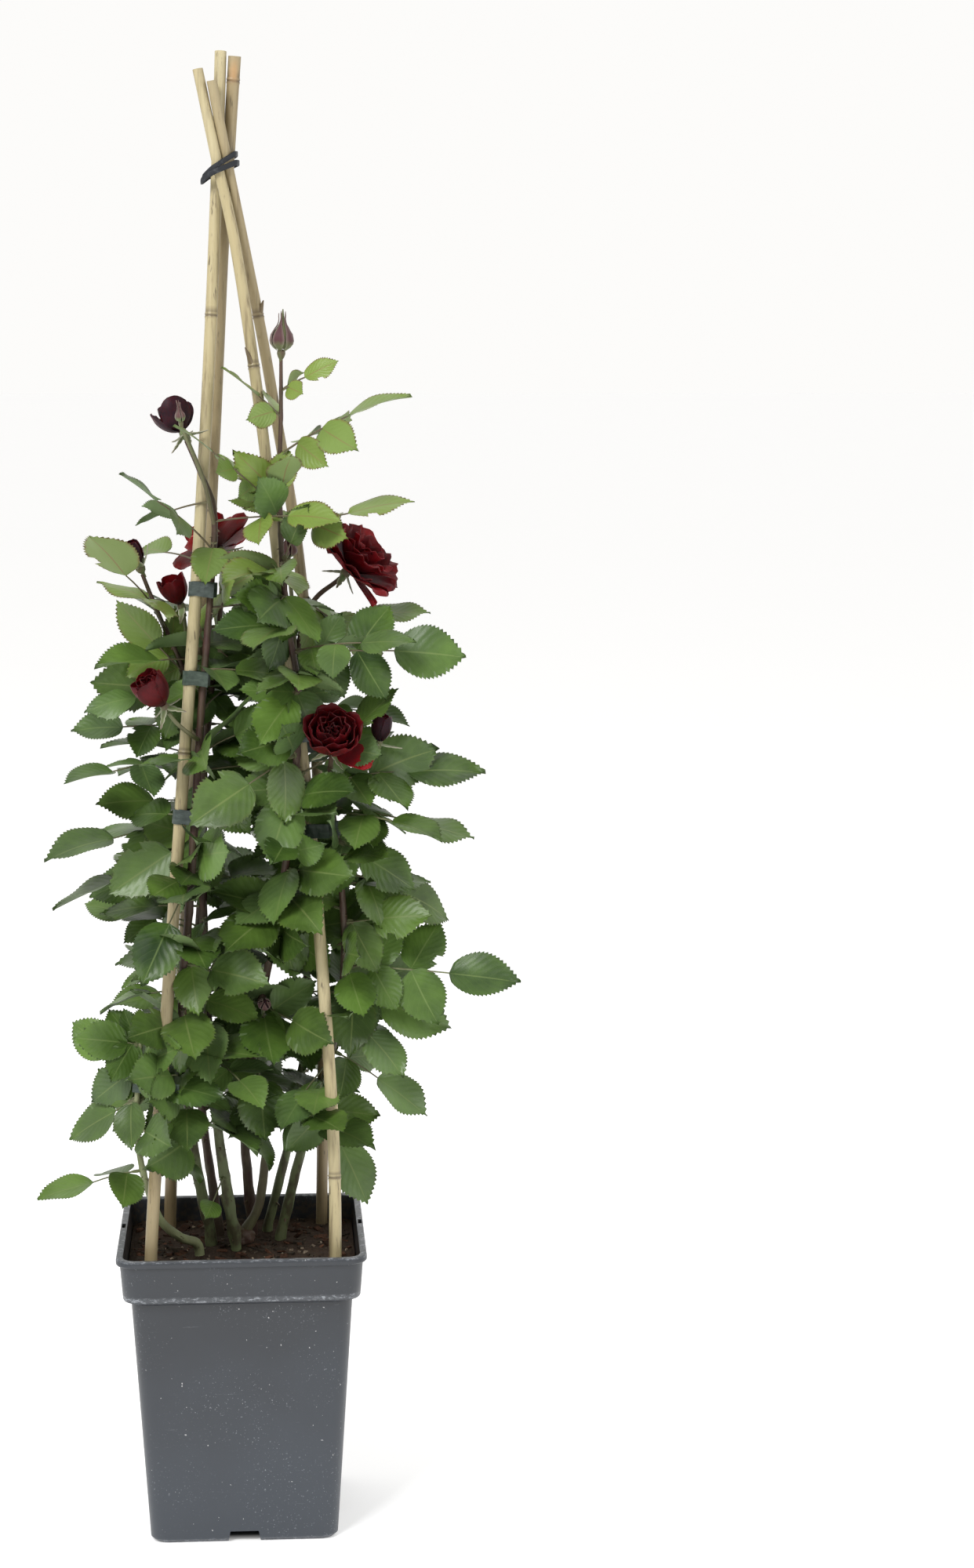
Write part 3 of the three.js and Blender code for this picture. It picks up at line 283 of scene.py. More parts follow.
# The leaves between those of the solids: the canes they partly hide and how often, their heights, their tries,
# their box and their reach to the left and right by height
VEILS = {"front_left": "front_left", "left_inner": "front_left", "right_top": "front_right",
         "right_outer": "front_right"}
VEIL_SHARE = 0.4
FILL_FOOT, FILL_TOP, FILL_STEP, FILL_TRIES, FILL_SEED = 320, 850, 16, 14, 500
FILL_REACH, FILL_LENGTH, FILL_COUNTS = (52, 112), (40, 60), (3, 3, 5, 5, 1)
FILL_BOX = ((-158, -118, 308), (214, 134, 945))
FILL_LEFT = ((262, -140), (360, -142), (420, -128), (560, -148), (680, -126), (800, -104), (860, -70), (930, -40))
FILL_RIGHT = ((262, 100), (360, 128), (480, 176), (620, 165), (720, 160), (800, 126), (870, 80), (930, 70))
# Shares of the height of an open flower's core and of a shut bud, with shares of their radius
CORE_PROFILE = ((0, 0.3), (0.4, 0.5), (0.8, 0.42))
SHUT_PROFILE = ((0, 0.5), (0.1, 0.92), (0.22, 1), (0.36, 0.9), (0.5, 0.58), (0.63, 0.3), (0.78, 0.16), (1, 0.05))


def smooth_through(stops: Sequence[tuple[float, float]], at: float) -> float:
    """The value at a place among stops, eased from one stop to the next.

    Args:
        stops: Places and the values there.
        at: The place.

    Returns:
        The value.
    """
    last = stops[0]
    for stop in stops[1:]:
        if at <= stop[0]:
            share = min(max((at - last[0]) / (stop[0] - last[0]), 0.0), 1.0)
            return lerp(last[1], stop[1], 0.5 * share + 0.5 * smooth(0, 1, share))
        last = stop
    return stops[-1][1]


@dataclass(frozen=True)
class CaneLine:
    """The middle line of a cane, its radius at foot and top, and its joints' heights, in millimetres."""

    points: tuple[Spot, ...]
    radius: tuple[float, float]
    knots: tuple[float, ...]


CANES = {
    "front_left": CaneLine(
        ((-71, -69, 100), (-73, -71, 230), (-50, -45, 530), (-30, -24, 780), (-18, -8, 960), (-10.5, 3, 1107),
         (-7, 10, 1191)), (5.2, 4.6), (352, 640, 985)),
    "back_left": CaneLine(
        ((-58, 70, 100), (-61, 79, 240), (-42, 57, 520), (-21, 33, 805), (-7, 16, 1042), (-2, 11, 1107),
         (4, 8, 1187)), (5.2, 5), (470, 830, 1168)),
    "front_right": CaneLine(
        ((72, -69, 100), (75, -71, 230), (73, -62, 360), (58, -46, 580), (40, -34, 740), (22, -22, 903),
         (4, -13, 1034), (-11, -8, 1106), (-25, -3.5, 1176)), (5.2, 4.1), (300, 615, 945)),
    "back_right": CaneLine(
        ((64, 70, 100), (67, 80, 226), (69, 64, 400), (66, 45, 604), (52, 27, 786), (33.5, 15, 908),
         (20.5, 8, 985), (-3, -3.5, 1106), (-14, -8.5, 1167)), (5, 4.1), (520, 700, 985)),
}


@dataclass(frozen=True)
class CaneMarks:
    """A chip in a cane's skin, by its height, and a stub at a joint, by its height and its reach."""

    chip: float = 0.0
    stub: tuple[float, Spot] | None = None


CANE_MARKS = {"back_left": CaneMarks(chip=1174), "front_right": CaneMarks(stub=(943, (-7, -6, 17))),
              "back_right": CaneMarks(stub=(984, (4, -6, 13)))}

# How browned each cane is at its foot and above
CANE_AGES = {"front_left": (0.7, 0.0), "back_left": (1.0, 0.7), "front_right": (0.0, 0.08),
             "back_right": (1.0, 0.6)}


@dataclass(frozen=True)
class Stem:
    """The middle line of a stem and its radius at foot and tip, in millimetres."""

    points: tuple[Spot, ...]
    radius: tuple[float, float]


SHOOTS = {
    "front_left": Stem(
        ((-26, 22, 200), (-26, 22, 228), (-38, 6, 300), (-46, -34, 420), (-38, -39, 530), (-28, -31, 670),
         (-18.5, -22, 777), (-16, -25, 832), (-27, -30, 864), (-37, -27, 887)), (4.4, 1.7)),
    "left_inner": Stem(
        ((-6, 8, 200), (-6, 8, 228), (-18, 2, 315), (-26, -4, 420), (-29, -2, 578), (-20, 12, 690),
         (-12, 40, 755), (-10, 66, 790)), (4.6, 1.9)),
    "right_top": Stem(
        ((8, 50, 200), (8, 50, 228), (3, 42, 322), (16, 8, 420), (34, -30, 520), (46, -52, 620), (49, -50, 690),
         (42, -47, 741), (37, -41, 800), (36, -36, 860), (37.5, -34, 905), (38, -32, 950)), (4, 1.4)),
    "right_outer": Stem(
        ((33, 36, 200), (33, 36, 228), (52, 18, 309), (70, -8, 371), (84, -22, 452), (84, -30, 515),
         (79, -37, 565), (74, -44, 616), (75, -58, 641)), (4, 1.9)),
    "back_right": Stem(
        ((22, 58, 200), (22, 58, 228), (42, 54, 310), (55, 55, 400), (54, 44, 500), (52, 34, 604), (49, 24, 700),
         (60, 14, 752), (84, 2, 776)), (3.6, 1.9)),
    "back_left": Stem(
        ((-20, 50, 200), (-20, 50, 228), (-32, 56, 320), (-38, 56, 420), (-31, 47, 520), (-27, 41, 604),
         (-32, 30, 670), (-48, 14, 715), (-62, 8, 748), (-74, 2, 780)), (3.6, 1.6)),
    "low_left": Stem(
        ((-36, -8, 200), (-36, -8, 228), (-50, -22, 240), (-66, -38, 260), (-78, -50, 300), (-83, -52, 345),
         (-79, -52, 410)), (3.8, 1.8)),
}

# Side stalks: shoot, height where the stalk leaves it, the rest of its points
STALKS = (
    ("front_left", 650, ((-36, -46, 656), (-46, -50, 665), (-53, -51, 674))),
    ("front_left", 820, ((-24, -43, 858), (-39, -54, 897))),
    ("back_left", 664, ((-37, 20, 708), (-42, 10, 748))),
    ("back_right", 695, ((46, 12, 750), (43, 4, 786))),
    ("right_outer", 602, ((98, -46, 621), (112, -46, 642))),
    ("right_top", 416, ((18, -4, 420), (19, -12, 425))),
)
STALK_RADIUS = (1.9, 1.5)

# Tape ties: cane, shoot, height
TIES = (
    ("front_left", "front_left", 770),
    ("front_left", "front_left", 700),
    ("front_left", "front_left", 590),
    ("front_left", "low_left", 374),
    ("front_right", "right_top", 655),
    ("front_right", "right_outer", 578),
    ("back_left", "back_left", 560),
    ("back_right", "back_right", 640),
)


@dataclass(frozen=True)
class Layer:
    """One round of petals: how many, their lean off the axis at foot and rim, and their length and width."""

    count: int
    low: float
    high: float
    length: float
    width: float


@dataclass(frozen=True)
class BloomPlan:
    """Where a bloom sits, how it faces and what it is made of, in millimetres and degrees."""

    at: Spot
    on: str
    axis: Spot
    hip: float
    sepals: int
    sepal_open: float = 0
    core: tuple[float, float] = (0, 0)
    layers: tuple[Layer, ...] = ()
    shut: tuple[float, float] | None = None
    # How bright the petals are: their own dark or crimson tone with painted light let through
    bright: float = 0.4
    ruffle: float = 0.6
    heart: int = 9
    loose: tuple[tuple[float, Layer], ...] = ()
    drawn_out: float = 1.0
    doubled: bool = False


BLOOMS = {
    "bud_top": BloomPlan((38, -32, 952), "right_top", (0.05, 0, 1), 3.4, 0, shut=(8.4, 31)),
    "opening": BloomPlan((-37, -27, 889), "front_left", (-0.45, 0.3, 0.85), 3.8, 5, 118, (8, 19),
                         (Layer(3, 52, -26, 25, 24), Layer(3, 70, -16, 29, 28)), bright=0.1, ruffle=0.5),
    "side_bud": BloomPlan((-40, -54, 898), "front_left", (-0.1, -0.3, 1), 1.9, 0, shut=(3, 11), drawn_out=1.5),
    "wide": BloomPlan((-10, 67, 791), "left_inner", (-0.45, 0.45, 0.8), 4, 4, 125, (7, 15),
                      (Layer(4, 48, 34, 28, 28), Layer(5, 80, 80, 38, 36)), bright=1.25, ruffle=1.1),
    "half_open": BloomPlan((-74, 2, 782), "back_left", (-0.45, -0.2, 0.9), 4.2, 5, 52, (6, 16),
                           (Layer(3, 42, -24, 20, 18),), bright=0.1, ruffle=0.3),
    "half_hidden": BloomPlan((-42, 9, 750), "back_left", (-0.35, -0.2, 0.9), 3.6, 3, 120, (6, 15),
                             (Layer(4, 52, -16, 24, 22),), bright=0.5, ruffle=0.6),
    "large": BloomPlan((86, 0, 778), "back_right", (0.6, -0.28, 0.66), 4.4, 4, 128, (8, 16),
                       (Layer(3, 40, 4, 31, 30), Layer(4, 58, 28, 38, 36), Layer(5, 78, 56, 43, 38)),
                       bright=0.7, ruffle=1.4, doubled=True, heart=12, loose=((95, Layer(2, 86, 116, 40, 10)),)),
    "dark_bud": BloomPlan((42, 3, 788), "back_right", (0, -0.2, 1), 2.8, 0, shut=(7, 19)),
    "cupped": BloomPlan((-54, -51, 676), "front_left", (-0.5, -0.35, 0.8), 4, 4, 120, (7, 20),
                        (Layer(3, 36, -22, 25, 22), Layer(4, 58, -24, 30, 27)), bright=0.27, ruffle=0.8, heart=10,
                          doubled=True),
    "rosette": BloomPlan((75, -61, 644), "right_outer", (0.02, -0.72, 0.7), 4.2, 4, 128, (8, 15),
                         (Layer(3, 36, -26, 21, 22), Layer(4, 56, -18, 28, 28), Layer(5, 78, -6, 33, 32)),
                         bright=0.28, ruffle=1.1, heart=16, doubled=True,
                         loose=((150, Layer(2, 84, 96, 35, 24)),)),
    "low_bud": BloomPlan((112, -46, 644), "right_outer", (0.18, -0.15, 1), 3.2, 3, 92, (7, 17),
                         (Layer(3, 40, -26, 21, 18),), bright=0.0, ruffle=0.3),
    "dried": BloomPlan((19, -13, 426), "right_top", (0.1, -0.6, 0.6), 2, 0, shut=(4.6, 9)),
}

# Compound leaves: shoot, height on it, tip of the end leaflet, leaflets, length of the end leaflet, facing
LEAVES = """
right_top 926 80 -35 950 3 27 UP
right_top 906 -8 -60 930 3 34 UP
right_top 876 131 -50 930 5 48 UP
right_top 838 50 -66 886 1 38 UP
right_top 831 -41 -72 903 5 36 UP
front_left 800 -85 -84 866 3 42 UP
back_left 735 -109 -62 818 3 54 UP
front_left 808 -22 -62 782 1 38 FRONT
right_top 812 135 -46 846 3 48 UP
right_top 786 -13 -92 800 3 54 UP
right_top 790 64 -70 832 1 36 FRONT
right_top 766 30 -80 760 3 54 FRONT
right_top 722 180 -70 724 5 56 FRONT
back_right 736 154 5 754 3 46 UP
right_top 744 -16 -70 744 3 46 FRONT
back_left 696 -96 -15 746 5 46 FRONT
back_left 684 -116 0 694 3 54 FRONT
right_top 692 24 -85 662 3 52 FRONT
right_outer 642 136 -35 676 3 46 UP
front_left 640 4 -88 662 3 58 UP
back_left 654 -132 10 654 5 42 LEFT
back_left 626 -136 -44 622 5 46 UP
right_outer 616 196 -50 634 5 62 UP
right_outer 596 189 -50 577 3 58 UP
right_outer 570 152 -45 552 3 52 FRONT
right_top 618 26 -88 560 3 54 FRONT
right_top 642 -28 -95 580 3 58 FRONT
left_inner 612 10 -30 576 3 46 FRONT
right_outer 500 150 -66 514 3 50 FRONT
right_top 400 20 -58 330 1 56 FRONT
left_inner 440 -14 -84 398 3 54 FRONT
right_top 514 6 -70 500 3 66 FRONT
back_left 572 -156 0 558 5 58 UP
back_left 554 -152 20 508 3 58 LEFT
left_inner 572 -96 -20 514 3 60 FRONT
back_left 590 -104 -14 584 1 50 FRONT
front_left 540 -76 -98 468 1 56 FRONT
left_inner 502 -8 -80 502 3 40 FRONT
front_left 470 10 -92 440 3 54 FRONT
back_right 506 142 20 472 5 46 FRONT
right_outer 464 226 -50 457 5 58 FRONT
right_outer 446 172 -30 414 3 62 FRONT
right_outer 432 122 -88 426 1 46 FRONT
right_top 428 16 -75 412 3 60 FRONT
right_outer 384 46 -84 336 1 46 FRONT
right_outer 392 154 -30 345 3 50 UP
right_outer 348 104 -24 266 3 54 FRONT
low_left 408 -130 -70 418 5 44 FRONT
low_left 390 -52 -100 406 3 40 FRONT
low_left 364 -150 -65 358 3 48 FRONT
front_left 368 -42 -92 332 3 48 FRONT
low_left 304 -162 -70 290 3 46 UP
right_top 324 -20 -55 348 3 58 FRONT
front_left 296 -70 -60 306 3 36 UP
left_inner 284 -28 -70 270 1 28 FRONT
right_outer 470 98 -80 436 1 48 FRONT
back_right 444 60 -5 482 3 46 FRONT
left_inner 686 -32 -10 672 3 46 FRONT
back_left 330 -118 92 330 3 52 BACK
back_left 400 -18 150 384 3 50 BACK
back_left 470 24 140 452 3 50 BACK
back_left 540 -126 70 528 3 50 LEFT
back_left 600 -24 138 590 3 50 UP
back_right 340 36 152 330 3 52 BACK
back_right 392 150 60 420 1 50 UP
back_right 540 152 46 540 3 50 RIGHT
back_right 600 40 136 598 3 48 BACK
left_inner 450 10 84 500 3 46 BACK
right_outer 440 140 30 420 3 50 RIGHT
low_left 380 -128 10 372 3 46 LEFT
"""


@dataclass(frozen=True)
class LeafRow:
    """A compound leaf of the solids, as the table gives it, in millimetres."""

    shoot: str
    height: int
    tip: Vector
    leaflets: int
    length: int
    facing: Facing

    @classmethod
    def read(cls, line: str) -> "LeafRow":
        """Reads one line of the table."""
        shoot, height, x, y, z, leaflets, length, facing = line.split()
        return cls(shoot, int(height), Vector((int(x), int(y), int(z))), int(leaflets), int(length), Facing[facing])


class Piece:
    """A mesh in the making, with a tint on each corner and a map across and along its sheets."""

    def __init__(self, name: str) -> None:
        """Starts an empty mesh under the piece's name.

        Args:
            name: The piece's name.
        """
        self.name = name
        self.mesh: BMesh = bmesh.new()
        self.tint = self.mesh.loops.layers.float_color.new(TINT)
        self.map = self.mesh.loops.layers.uv.new(BLADE_MAP)

    def sheet(self, across: int, along: int, place: Place, tint: Tint, thickness: float = 0.0) -> list[BMFace]:
        """Lays a grid out by a rule, and gives it a thickness if asked.

        Args:
            across: Faces across the sheet.
            along: Faces along it.
            place: Where a share across and a share along come to lie.
            tint: The tint there.
            thickness: How far the back stands off the front, in metres.

        Returns:
            The faces of the front.
        """
        verts = bmesh.ops.create_grid(self.mesh, x_segments=across, y_segments=along, size=0.5)["verts"]
        faces = list({face: None for vert in verts for face in vert.link_faces})
        spots = {vert: (vert.co.x + 0.5, vert.co.y + 0.5) for vert in verts}
        for face in faces:
            face.smooth = True
            for loop in face.loops:
                u, w = spots[loop.vert]
                loop[self.map].uv = (u, w)
                loop[self.tint] = (*tint(u, w), 1.0)
        for vert, (u, w) in spots.items():
            vert.co = place(u, w)
        bmesh.ops.remove_doubles(self.mesh, verts=verts, dist=1e-6)
        faces = [face for face in faces if face.is_valid]
        if thickness:
            made = bmesh.ops.solidify(self.mesh, geom=faces, thickness=thickness)["geom"]
            for face in (f for f in made if isinstance(f, BMFace)):
                face.smooth = True
        return faces

    def paint(self, faces: Iterable[BMFace], tint: Sequence[float]) -> None:
        """Gives faces one tint."""
        for loop in (loop for face in faces for loop in face.loops):
            loop[self.tint] = (*tint, 1.0)

    def tube(self, line: "Curve | Bezier", stations: Sequence[float], radius: Number, sides: int, tint: Tint
             ) -> list[BMFace]:
        """A round skin along a line, shut at both ends.

        Args:
            line: The middle line.
            stations: The shares of the line where its rings stand.
            radius: Radius in metres at a share round and a share along.
            sides: Faces round it.
            tint: The tint at a share round and along.

        Returns:
            The two end faces.
        """
        rings = len(stations) - 1
        turns = [(line.at(share), UP.rotation_difference(line.along(share))) for share in stations]

        def place(u: float, w: float) -> Vector:
            """A place on the ring that stands there.

            Args:
                u: Share across or round.
                w: Share along.

            Returns:
                The place in metres.
            """
            i = round(w * rings)
            centre, turn = turns[i]
            return centre + turn @ (spoke(tau * u) * radius(u, stations[i]))

        faces = self.sheet(sides, rings, place, lambda u, w: tint(u, stations[round(w * rings)]))
        caps = bmesh.ops.holes_fill(self.mesh, edges=rims_of(faces), sides=0)["faces"]
        self.paint(caps, tint(0.5, 1.0))
        return caps

    def finish(self, slot: Slot, node: str, materials: Sequence[Material], sharp: float = 50) -> Object:
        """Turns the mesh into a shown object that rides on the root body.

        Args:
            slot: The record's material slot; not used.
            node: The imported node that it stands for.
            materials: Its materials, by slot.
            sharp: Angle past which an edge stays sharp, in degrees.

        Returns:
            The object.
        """
        bmesh.ops.dissolve_degenerate(self.mesh, edges=self.mesh.edges[:], dist=1e-7)
        data = new_mesh(self.name, self.mesh)
        data.set_sharp_from_angle(angle=radians(sharp))
        for material in materials:
            data.materials.append(material)
        obj = new_object(self.name, data)
        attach(obj, "root")
        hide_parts(node)
        LOG.info("%s: %d faces", self.name, len(data.polygons))
        return obj


class Shader:
    """Wires one material's nodes."""

    def __init__(self, name: str, **sockets: float | tuple) -> None:
        """Makes the material.

        Args:
            name: The material's name.
            **sockets: Plain values for the surface shader's sockets, with _ for a space.
        """
        self.material = bpy.data.materials.new(name)
        self.material.use_nodes = True
        self.tree = self.material.node_tree
        self.surface = self.tree.nodes["Principled BSDF"]
        for socket, value in sockets.items():
            self.surface.inputs[socket.replace("_", " ")].default_value = value

    def node(self, kind: str, inputs: dict | None = None, **settings: object) -> Node:
        """Adds a node.

        Args:
            kind: Its kind.
            inputs: Links and plain values for its inputs.
            **settings: Its settings.

        Returns:
            The node.
        """
        made = self.tree.nodes.new(f"ShaderNode{kind}")
        for key, value in settings.items():
            setattr(made, key, value)
        for key, value in (inputs or {}).items():
            if isinstance(value, NodeSocket):
                self.tree.links.new(value, made.inputs[key])
            else:
                made.inputs[key].default_value = value
        return made

    def place(self, scale: Sequence[float] = (1, 1, 1)) -> NodeSocket:
        """The place on the object, in metres, stretched by a scale."""
        spot = self.node("TexCoord").outputs["Object"]
        return self.node("Mapping", {"Vector": spot, "Scale": tuple(scale)}).outputs[0]

    def blade(self) -> list[NodeSocket]:
        """The shares across and along a sheet."""
        return self.node("SeparateXYZ", {0: self.node("UVMap", uv_map=BLADE_MAP).outputs[0]}).outputs[:2]

    def tints(self) -> list[NodeSocket]:
        """The three numbers of a corner's tint."""
        made = self.node("Attribute", attribute_name=TINT)
        return self.node("SeparateColor", {0: made.outputs["Color"]}).outputs[:]

    def math(self, operation: str, *values: float | NodeSocket) -> NodeSocket:
        """A sum on one to three numbers."""
        return self.node("Math", dict(enumerate(values)), operation=operation).outputs[0]

    def times(self, first: float | NodeSocket, second: float | NodeSocket) -> NodeSocket:
        """The product of two numbers."""
        return self.math("MULTIPLY", first, second)

    def line(self, value: NodeSocket, factor: float, more: float | NodeSocket) -> NodeSocket:
        """A number times a factor, and more added."""
        return self.math("MULTIPLY_ADD", value, factor, more)

    def step(self, value: NodeSocket, low: float, high: float, out: tuple[float, float] = (0, 1)
             ) -> NodeSocket:
        """A soft step of a number from low to high."""
        return self.node("MapRange", {"Value": value, "From Min": low, "From Max": high, "To Min": out[0],
                                      "To Max": out[1]}, interpolation_type="SMOOTHSTEP").outputs[0]

    def noise(self, scale: float, detail: float = 3, stretch: Sequence[float] = (1, 1, 1), rough: float = 0.55
              ) -> NodeSocket:
        """Soft noise over the object."""
        return self.node("TexNoise", {"Vector": self.place(stretch), "Scale": scale, "Detail": detail,
                                      "Roughness": rough}).outputs[0]

    def mix(self, share: NodeSocket, first: NodeSocket | Colour, second: NodeSocket | Colour, most: float = 1
            ) -> NodeSocket:
        """A mix of two colours.

        Args:
            share: The second one's share.
            first: The first colour.
            second: The second colour.
            most: What the share is multiplied by.

        Returns:
            The mixed colour.
        """
        share = share if most == 1 else self.times(share, most)
        first, second = (c if isinstance(c, NodeSocket) else (*c, 1) for c in (first, second))
        return self.node("Mix", {0: share, 6: first, 7: second}, data_type="RGBA").outputs[2]

    def use(self, socket: str, value: NodeSocket) -> None:
        """Drives one socket of the surface."""
        self.tree.links.new(value, self.surface.inputs[socket])

    def done(self, colour: NodeSocket, *reliefs: tuple[NodeSocket, float, float]) -> Material:
        """Puts the colour and the reliefs on.

        Args:
            colour: The surface's colour.
            *reliefs: For each relief a height, a strength and a depth in metres.

        Returns:
            The finished material.
        """
        self.use("Base Color", colour)
        normal = None
        for height, strength, depth in reliefs:
            inputs = {"Height": height, "Strength": strength, "Distance": depth}
            if normal is not None:
                inputs["Normal"] = normal
            normal = self.node("Bump", inputs).outputs[0]
        if normal is not None:
            self.use("Normal", normal)
        return self.material


@dataclass(frozen=True)
class LeafFinish:
    """One side of a leaflet: grown and young colours, veins, gloss and a painted sheen."""

    name: str
    dark: Colour
    light: Colour
    young: Colour
    vein: Colour
    roughness: float
    vein_share: float
    relief: float
    # Colour of the painted sheen, a pale grey-green haze
    painted_sheen: Colour = (0.17, 0.26, 0.12)

    def material(self) -> Material:
        """The leaf side's material.

        Returns:
            The material.
        """
        s = Shader(self.name, Roughness=self.roughness, Specular_IOR_Level=0.42)
        u, w = s.blade()
        off = s.math("ABSOLUTE", s.line(u, 2.0, -1.0))
        # The third tint is the share of painted sheen on the leaflet
        youth, chance, bloom = s.tints()
        drift = s.times(s.noise(45, 2), 1.1)
        phase = s.math("ADD", s.line(off, -2.6, s.times(w, 8.0)), drift)
        saw = s.math("PINGPONG", s.math("ADD", phase, 20.0), 0.5)
        side_vein = s.step(saw, 0.0, 0.07, (1, 0))
        midrib = s.step(off, 0.012, 0.055, (1, 0))
        veins = s.math("MAXIMUM", midrib, s.times(side_vein, 0.24))
        patch = s.step(s.noise(28, 4), 0.3, 0.72)
        ground = s.mix(s.line(chance, 0.55, s.times(patch, 0.5)), self.dark, self.light)
        ground = s.mix(youth, ground, self.young)
        # Painted sheen: a pale grey-green haze over some leaflets
        ground = s.mix(bloom, ground, self.painted_sheen, 0.25)
        ground = s.mix(veins, ground, self.vein, self.vein_share)
        edge = s.times(s.step(off, 0.86, 1.0), s.times(youth, 0.55))
        ground = s.mix(edge, ground, (0.16, 0.045, 0.03))
        rib = s.times(s.step(off, 0.0, 0.05, (1, 0)), s.times(youth, 0.7))
        ground = s.mix(rib, ground, (0.22, 0.07, 0.04))
        s.use("Roughness", s.line(s.noise(60, 3), 0.16, self.roughness - 0.08))
        puff = s.times(s.step(saw, 0.0, 0.5), s.step(off, 0.0, 0.25))
        return s.done(ground, (puff, self.relief, 0.0009), (s.noise(900, 2), 0.25, 0.0003))


@dataclass(frozen=True)
class StemFinish:
    """Bark of the stems, stalks and thorns: green below, purple-brown above."""

    name: str = "rose_stem"
    green: Colour = (0.115, 0.14, 0.06)
    brown: Colour = (0.075, 0.045, 0.028)
    purple: Colour = (0.055, 0.022, 0.02)
    pale: Colour = (0.2, 0.22, 0.12)

    def material(self) -> Material:
        """The bark's material; red counts for age, green for chance and blue for a pale dry stalk.

        Returns:
            The material.
        """
        s = Shader(self.name, Roughness=0.55, Specular_IOR_Level=0.4)
        woody, chance, pale = s.tints()
        streak = s.noise(150, 5, (1, 1, 0.16), 0.65)
        blotch = s.step(s.noise(70, 4), 0.35, 0.7)
        bark = s.mix(blotch, self.brown, self.purple)
        age = s.step(s.math("ADD", woody, s.line(streak, 0.7, -0.35)), 0.2, 0.8)
        colour = s.mix(age, self.green, bark)
        colour = s.mix(s.step(streak, 0.5, 0.8), colour, self.pale, 0.35)
        scar = s.step(s.noise(95, 5, (1, 1, 0.5)), 0.46, 0.62)
        colour = s.mix(scar, colour, (0.05, 0.036, 0.02), 0.75)
        colour = s.mix(pale, colour, (0.3, 0.33, 0.17))
        colour = s.mix(chance, colour, (0.12, 0.07, 0.035), 0.35)
        return s.done(colour, (streak, 0.7, 0.0009), (s.noise(700, 3), 0.4, 0.0004))


@dataclass(frozen=True)
class PetalFinish:
    """Velvety petal: near black with painted shade in the folds at its foot, crimson on the open faces, brighter
    where painted light comes through.
    """

    name: str
    deep: Colour
    open: Colour
    bright: Colour
    roughness: float = 0.5

    def material(self) -> Material:
        """The petal's material; red counts for light let through, green for chance, blue for a dry rim.

        Returns:
            The material.
        """
        s = Shader(self.name, Roughness=self.roughness, Specular_IOR_Level=0.18, Sheen_Weight=0.07,
                   Sheen_Roughness=0.4, Sheen_Tint=(0.7, 0.1, 0.12, 1), Subsurface_Weight=0.5,
                   Subsurface_Radius=(1.0, 0.12, 0.08), Subsurface_Scale=0.0025)
        u, w = s.blade()
        lit, chance, rim = s.tints()
        cloud = s.step(s.noise(90, 4), 0.25, 0.75)
        # Painted light: the tint's red, the light let through, carries the petal from deep to open to bright red
        colour = s.mix(s.line(cloud, 0.4, s.times(lit, 0.8)), self.deep, self.open)
        colour = s.mix(s.times(s.step(lit, 0.55, 1.0), s.line(chance, 0.5, 0.3)),
                       colour, self.bright)
        # Painted shade at the petal's foot, deep inside the flower
        foot = s.step(w, 0.0, 0.35, (0.75, 0))
        colour = s.mix(foot, colour, self.deep)
        colour = s.mix(s.times(rim, s.step(w, 0.86, 1.0, (0, 0.7))), colour, (0.02, 0.006, 0.008))
        ribs = s.node("TexNoise", {"Vector": s.node("CombineXYZ", {0: s.times(u, 34.0), 1: w}).outputs[0],
                                   "Scale": 1.0, "Detail": 3.0}).outputs[0]
        return s.done(colour, (ribs, 0.35, 0.0006), (s.noise(500, 2), 0.2, 0.0003))


@dataclass(frozen=True)
class BudFinish:
    """Sepals, hips and shut buds: green to purple with a downy bloom."""

    name: str
    green: Colour
    purple: Colour

    def material(self) -> Material:
        """The sepal's material; red counts for purple, green for chance, blue for the pale edge.

        Returns:
            The material.
        """
        s = Shader(self.name, Roughness=0.6, Specular_IOR_Level=0.3, Sheen_Weight=0.35, Sheen_Roughness=0.5,
                   Sheen_Tint=(0.8, 0.75, 0.7, 1))
        purple, chance, edge = s.tints()
        streak = s.noise(260, 4, (1, 1, 0.25))
        share = s.step(s.math("ADD", purple, s.line(streak, 0.8, -0.4)), 0.1, 0.9)
        colour = s.mix(share, self.green, self.purple)
        colour = s.mix(chance, colour, (0.12, 0.06, 0.05), 0.3)
        colour = s.mix(edge, colour, (0.5, 0.48, 0.38), 0.7)
        return s.done(colour, (streak, 0.5, 0.0005))


@dataclass(frozen=True)
class BambooFinish:
    """Dried bamboo: tan with long streaks, dark rings at its joints."""

    name: str = "bamboo"
    tan: Colour = (0.4, 0.335, 0.185)
    dark: Colour = (0.16, 0.12, 0.062)
    pale: Colour = (0.52, 0.46, 0.29)

    def material(self) -> Material:
        """The bamboo's material; red counts for a joint's ring, green for age, blue for a cut end; red and green
        together also paint shade at the floor of the hollow top.

        Returns:
            The material.
        """
        s = Shader(self.name, Roughness=0.45, Specular_IOR_Level=0.45)
        ring, age, cut = s.tints()
        streak = s.noise(330, 5, (1, 1, 0.02), 0.65)
        cloud = s.noise(14, 4, (1, 1, 0.5))
        fleck = s.times(s.step(s.noise(380, 3, (1, 1, 0.14)), 0.6, 0.7), s.step(s.noise(22, 2), 0.4, 0.65))
        colour = s.mix(s.step(streak, 0.24, 0.54), self.dark, self.tan)
        colour = s.mix(s.step(cloud, 0.4, 0.75), colour, self.pale, 0.6)
        colour = s.mix(age, colour, (0.17, 0.115, 0.058), 0.75)
        colour = s.mix(fleck, colour, (0.05, 0.036, 0.022), 0.75)
        colour = s.mix(ring, colour, (0.06, 0.038, 0.022), 0.8)
        colour = s.mix(cut, colour, (0.42, 0.25, 0.11))
        s.use("Roughness", s.step(cloud, 0.3, 0.8, (0.38, 0.56)))
        return s.done(colour, (streak, 0.4, 0.0005), (s.noise(900, 2, (1, 1, 0.1)), 0.2, 0.0002))


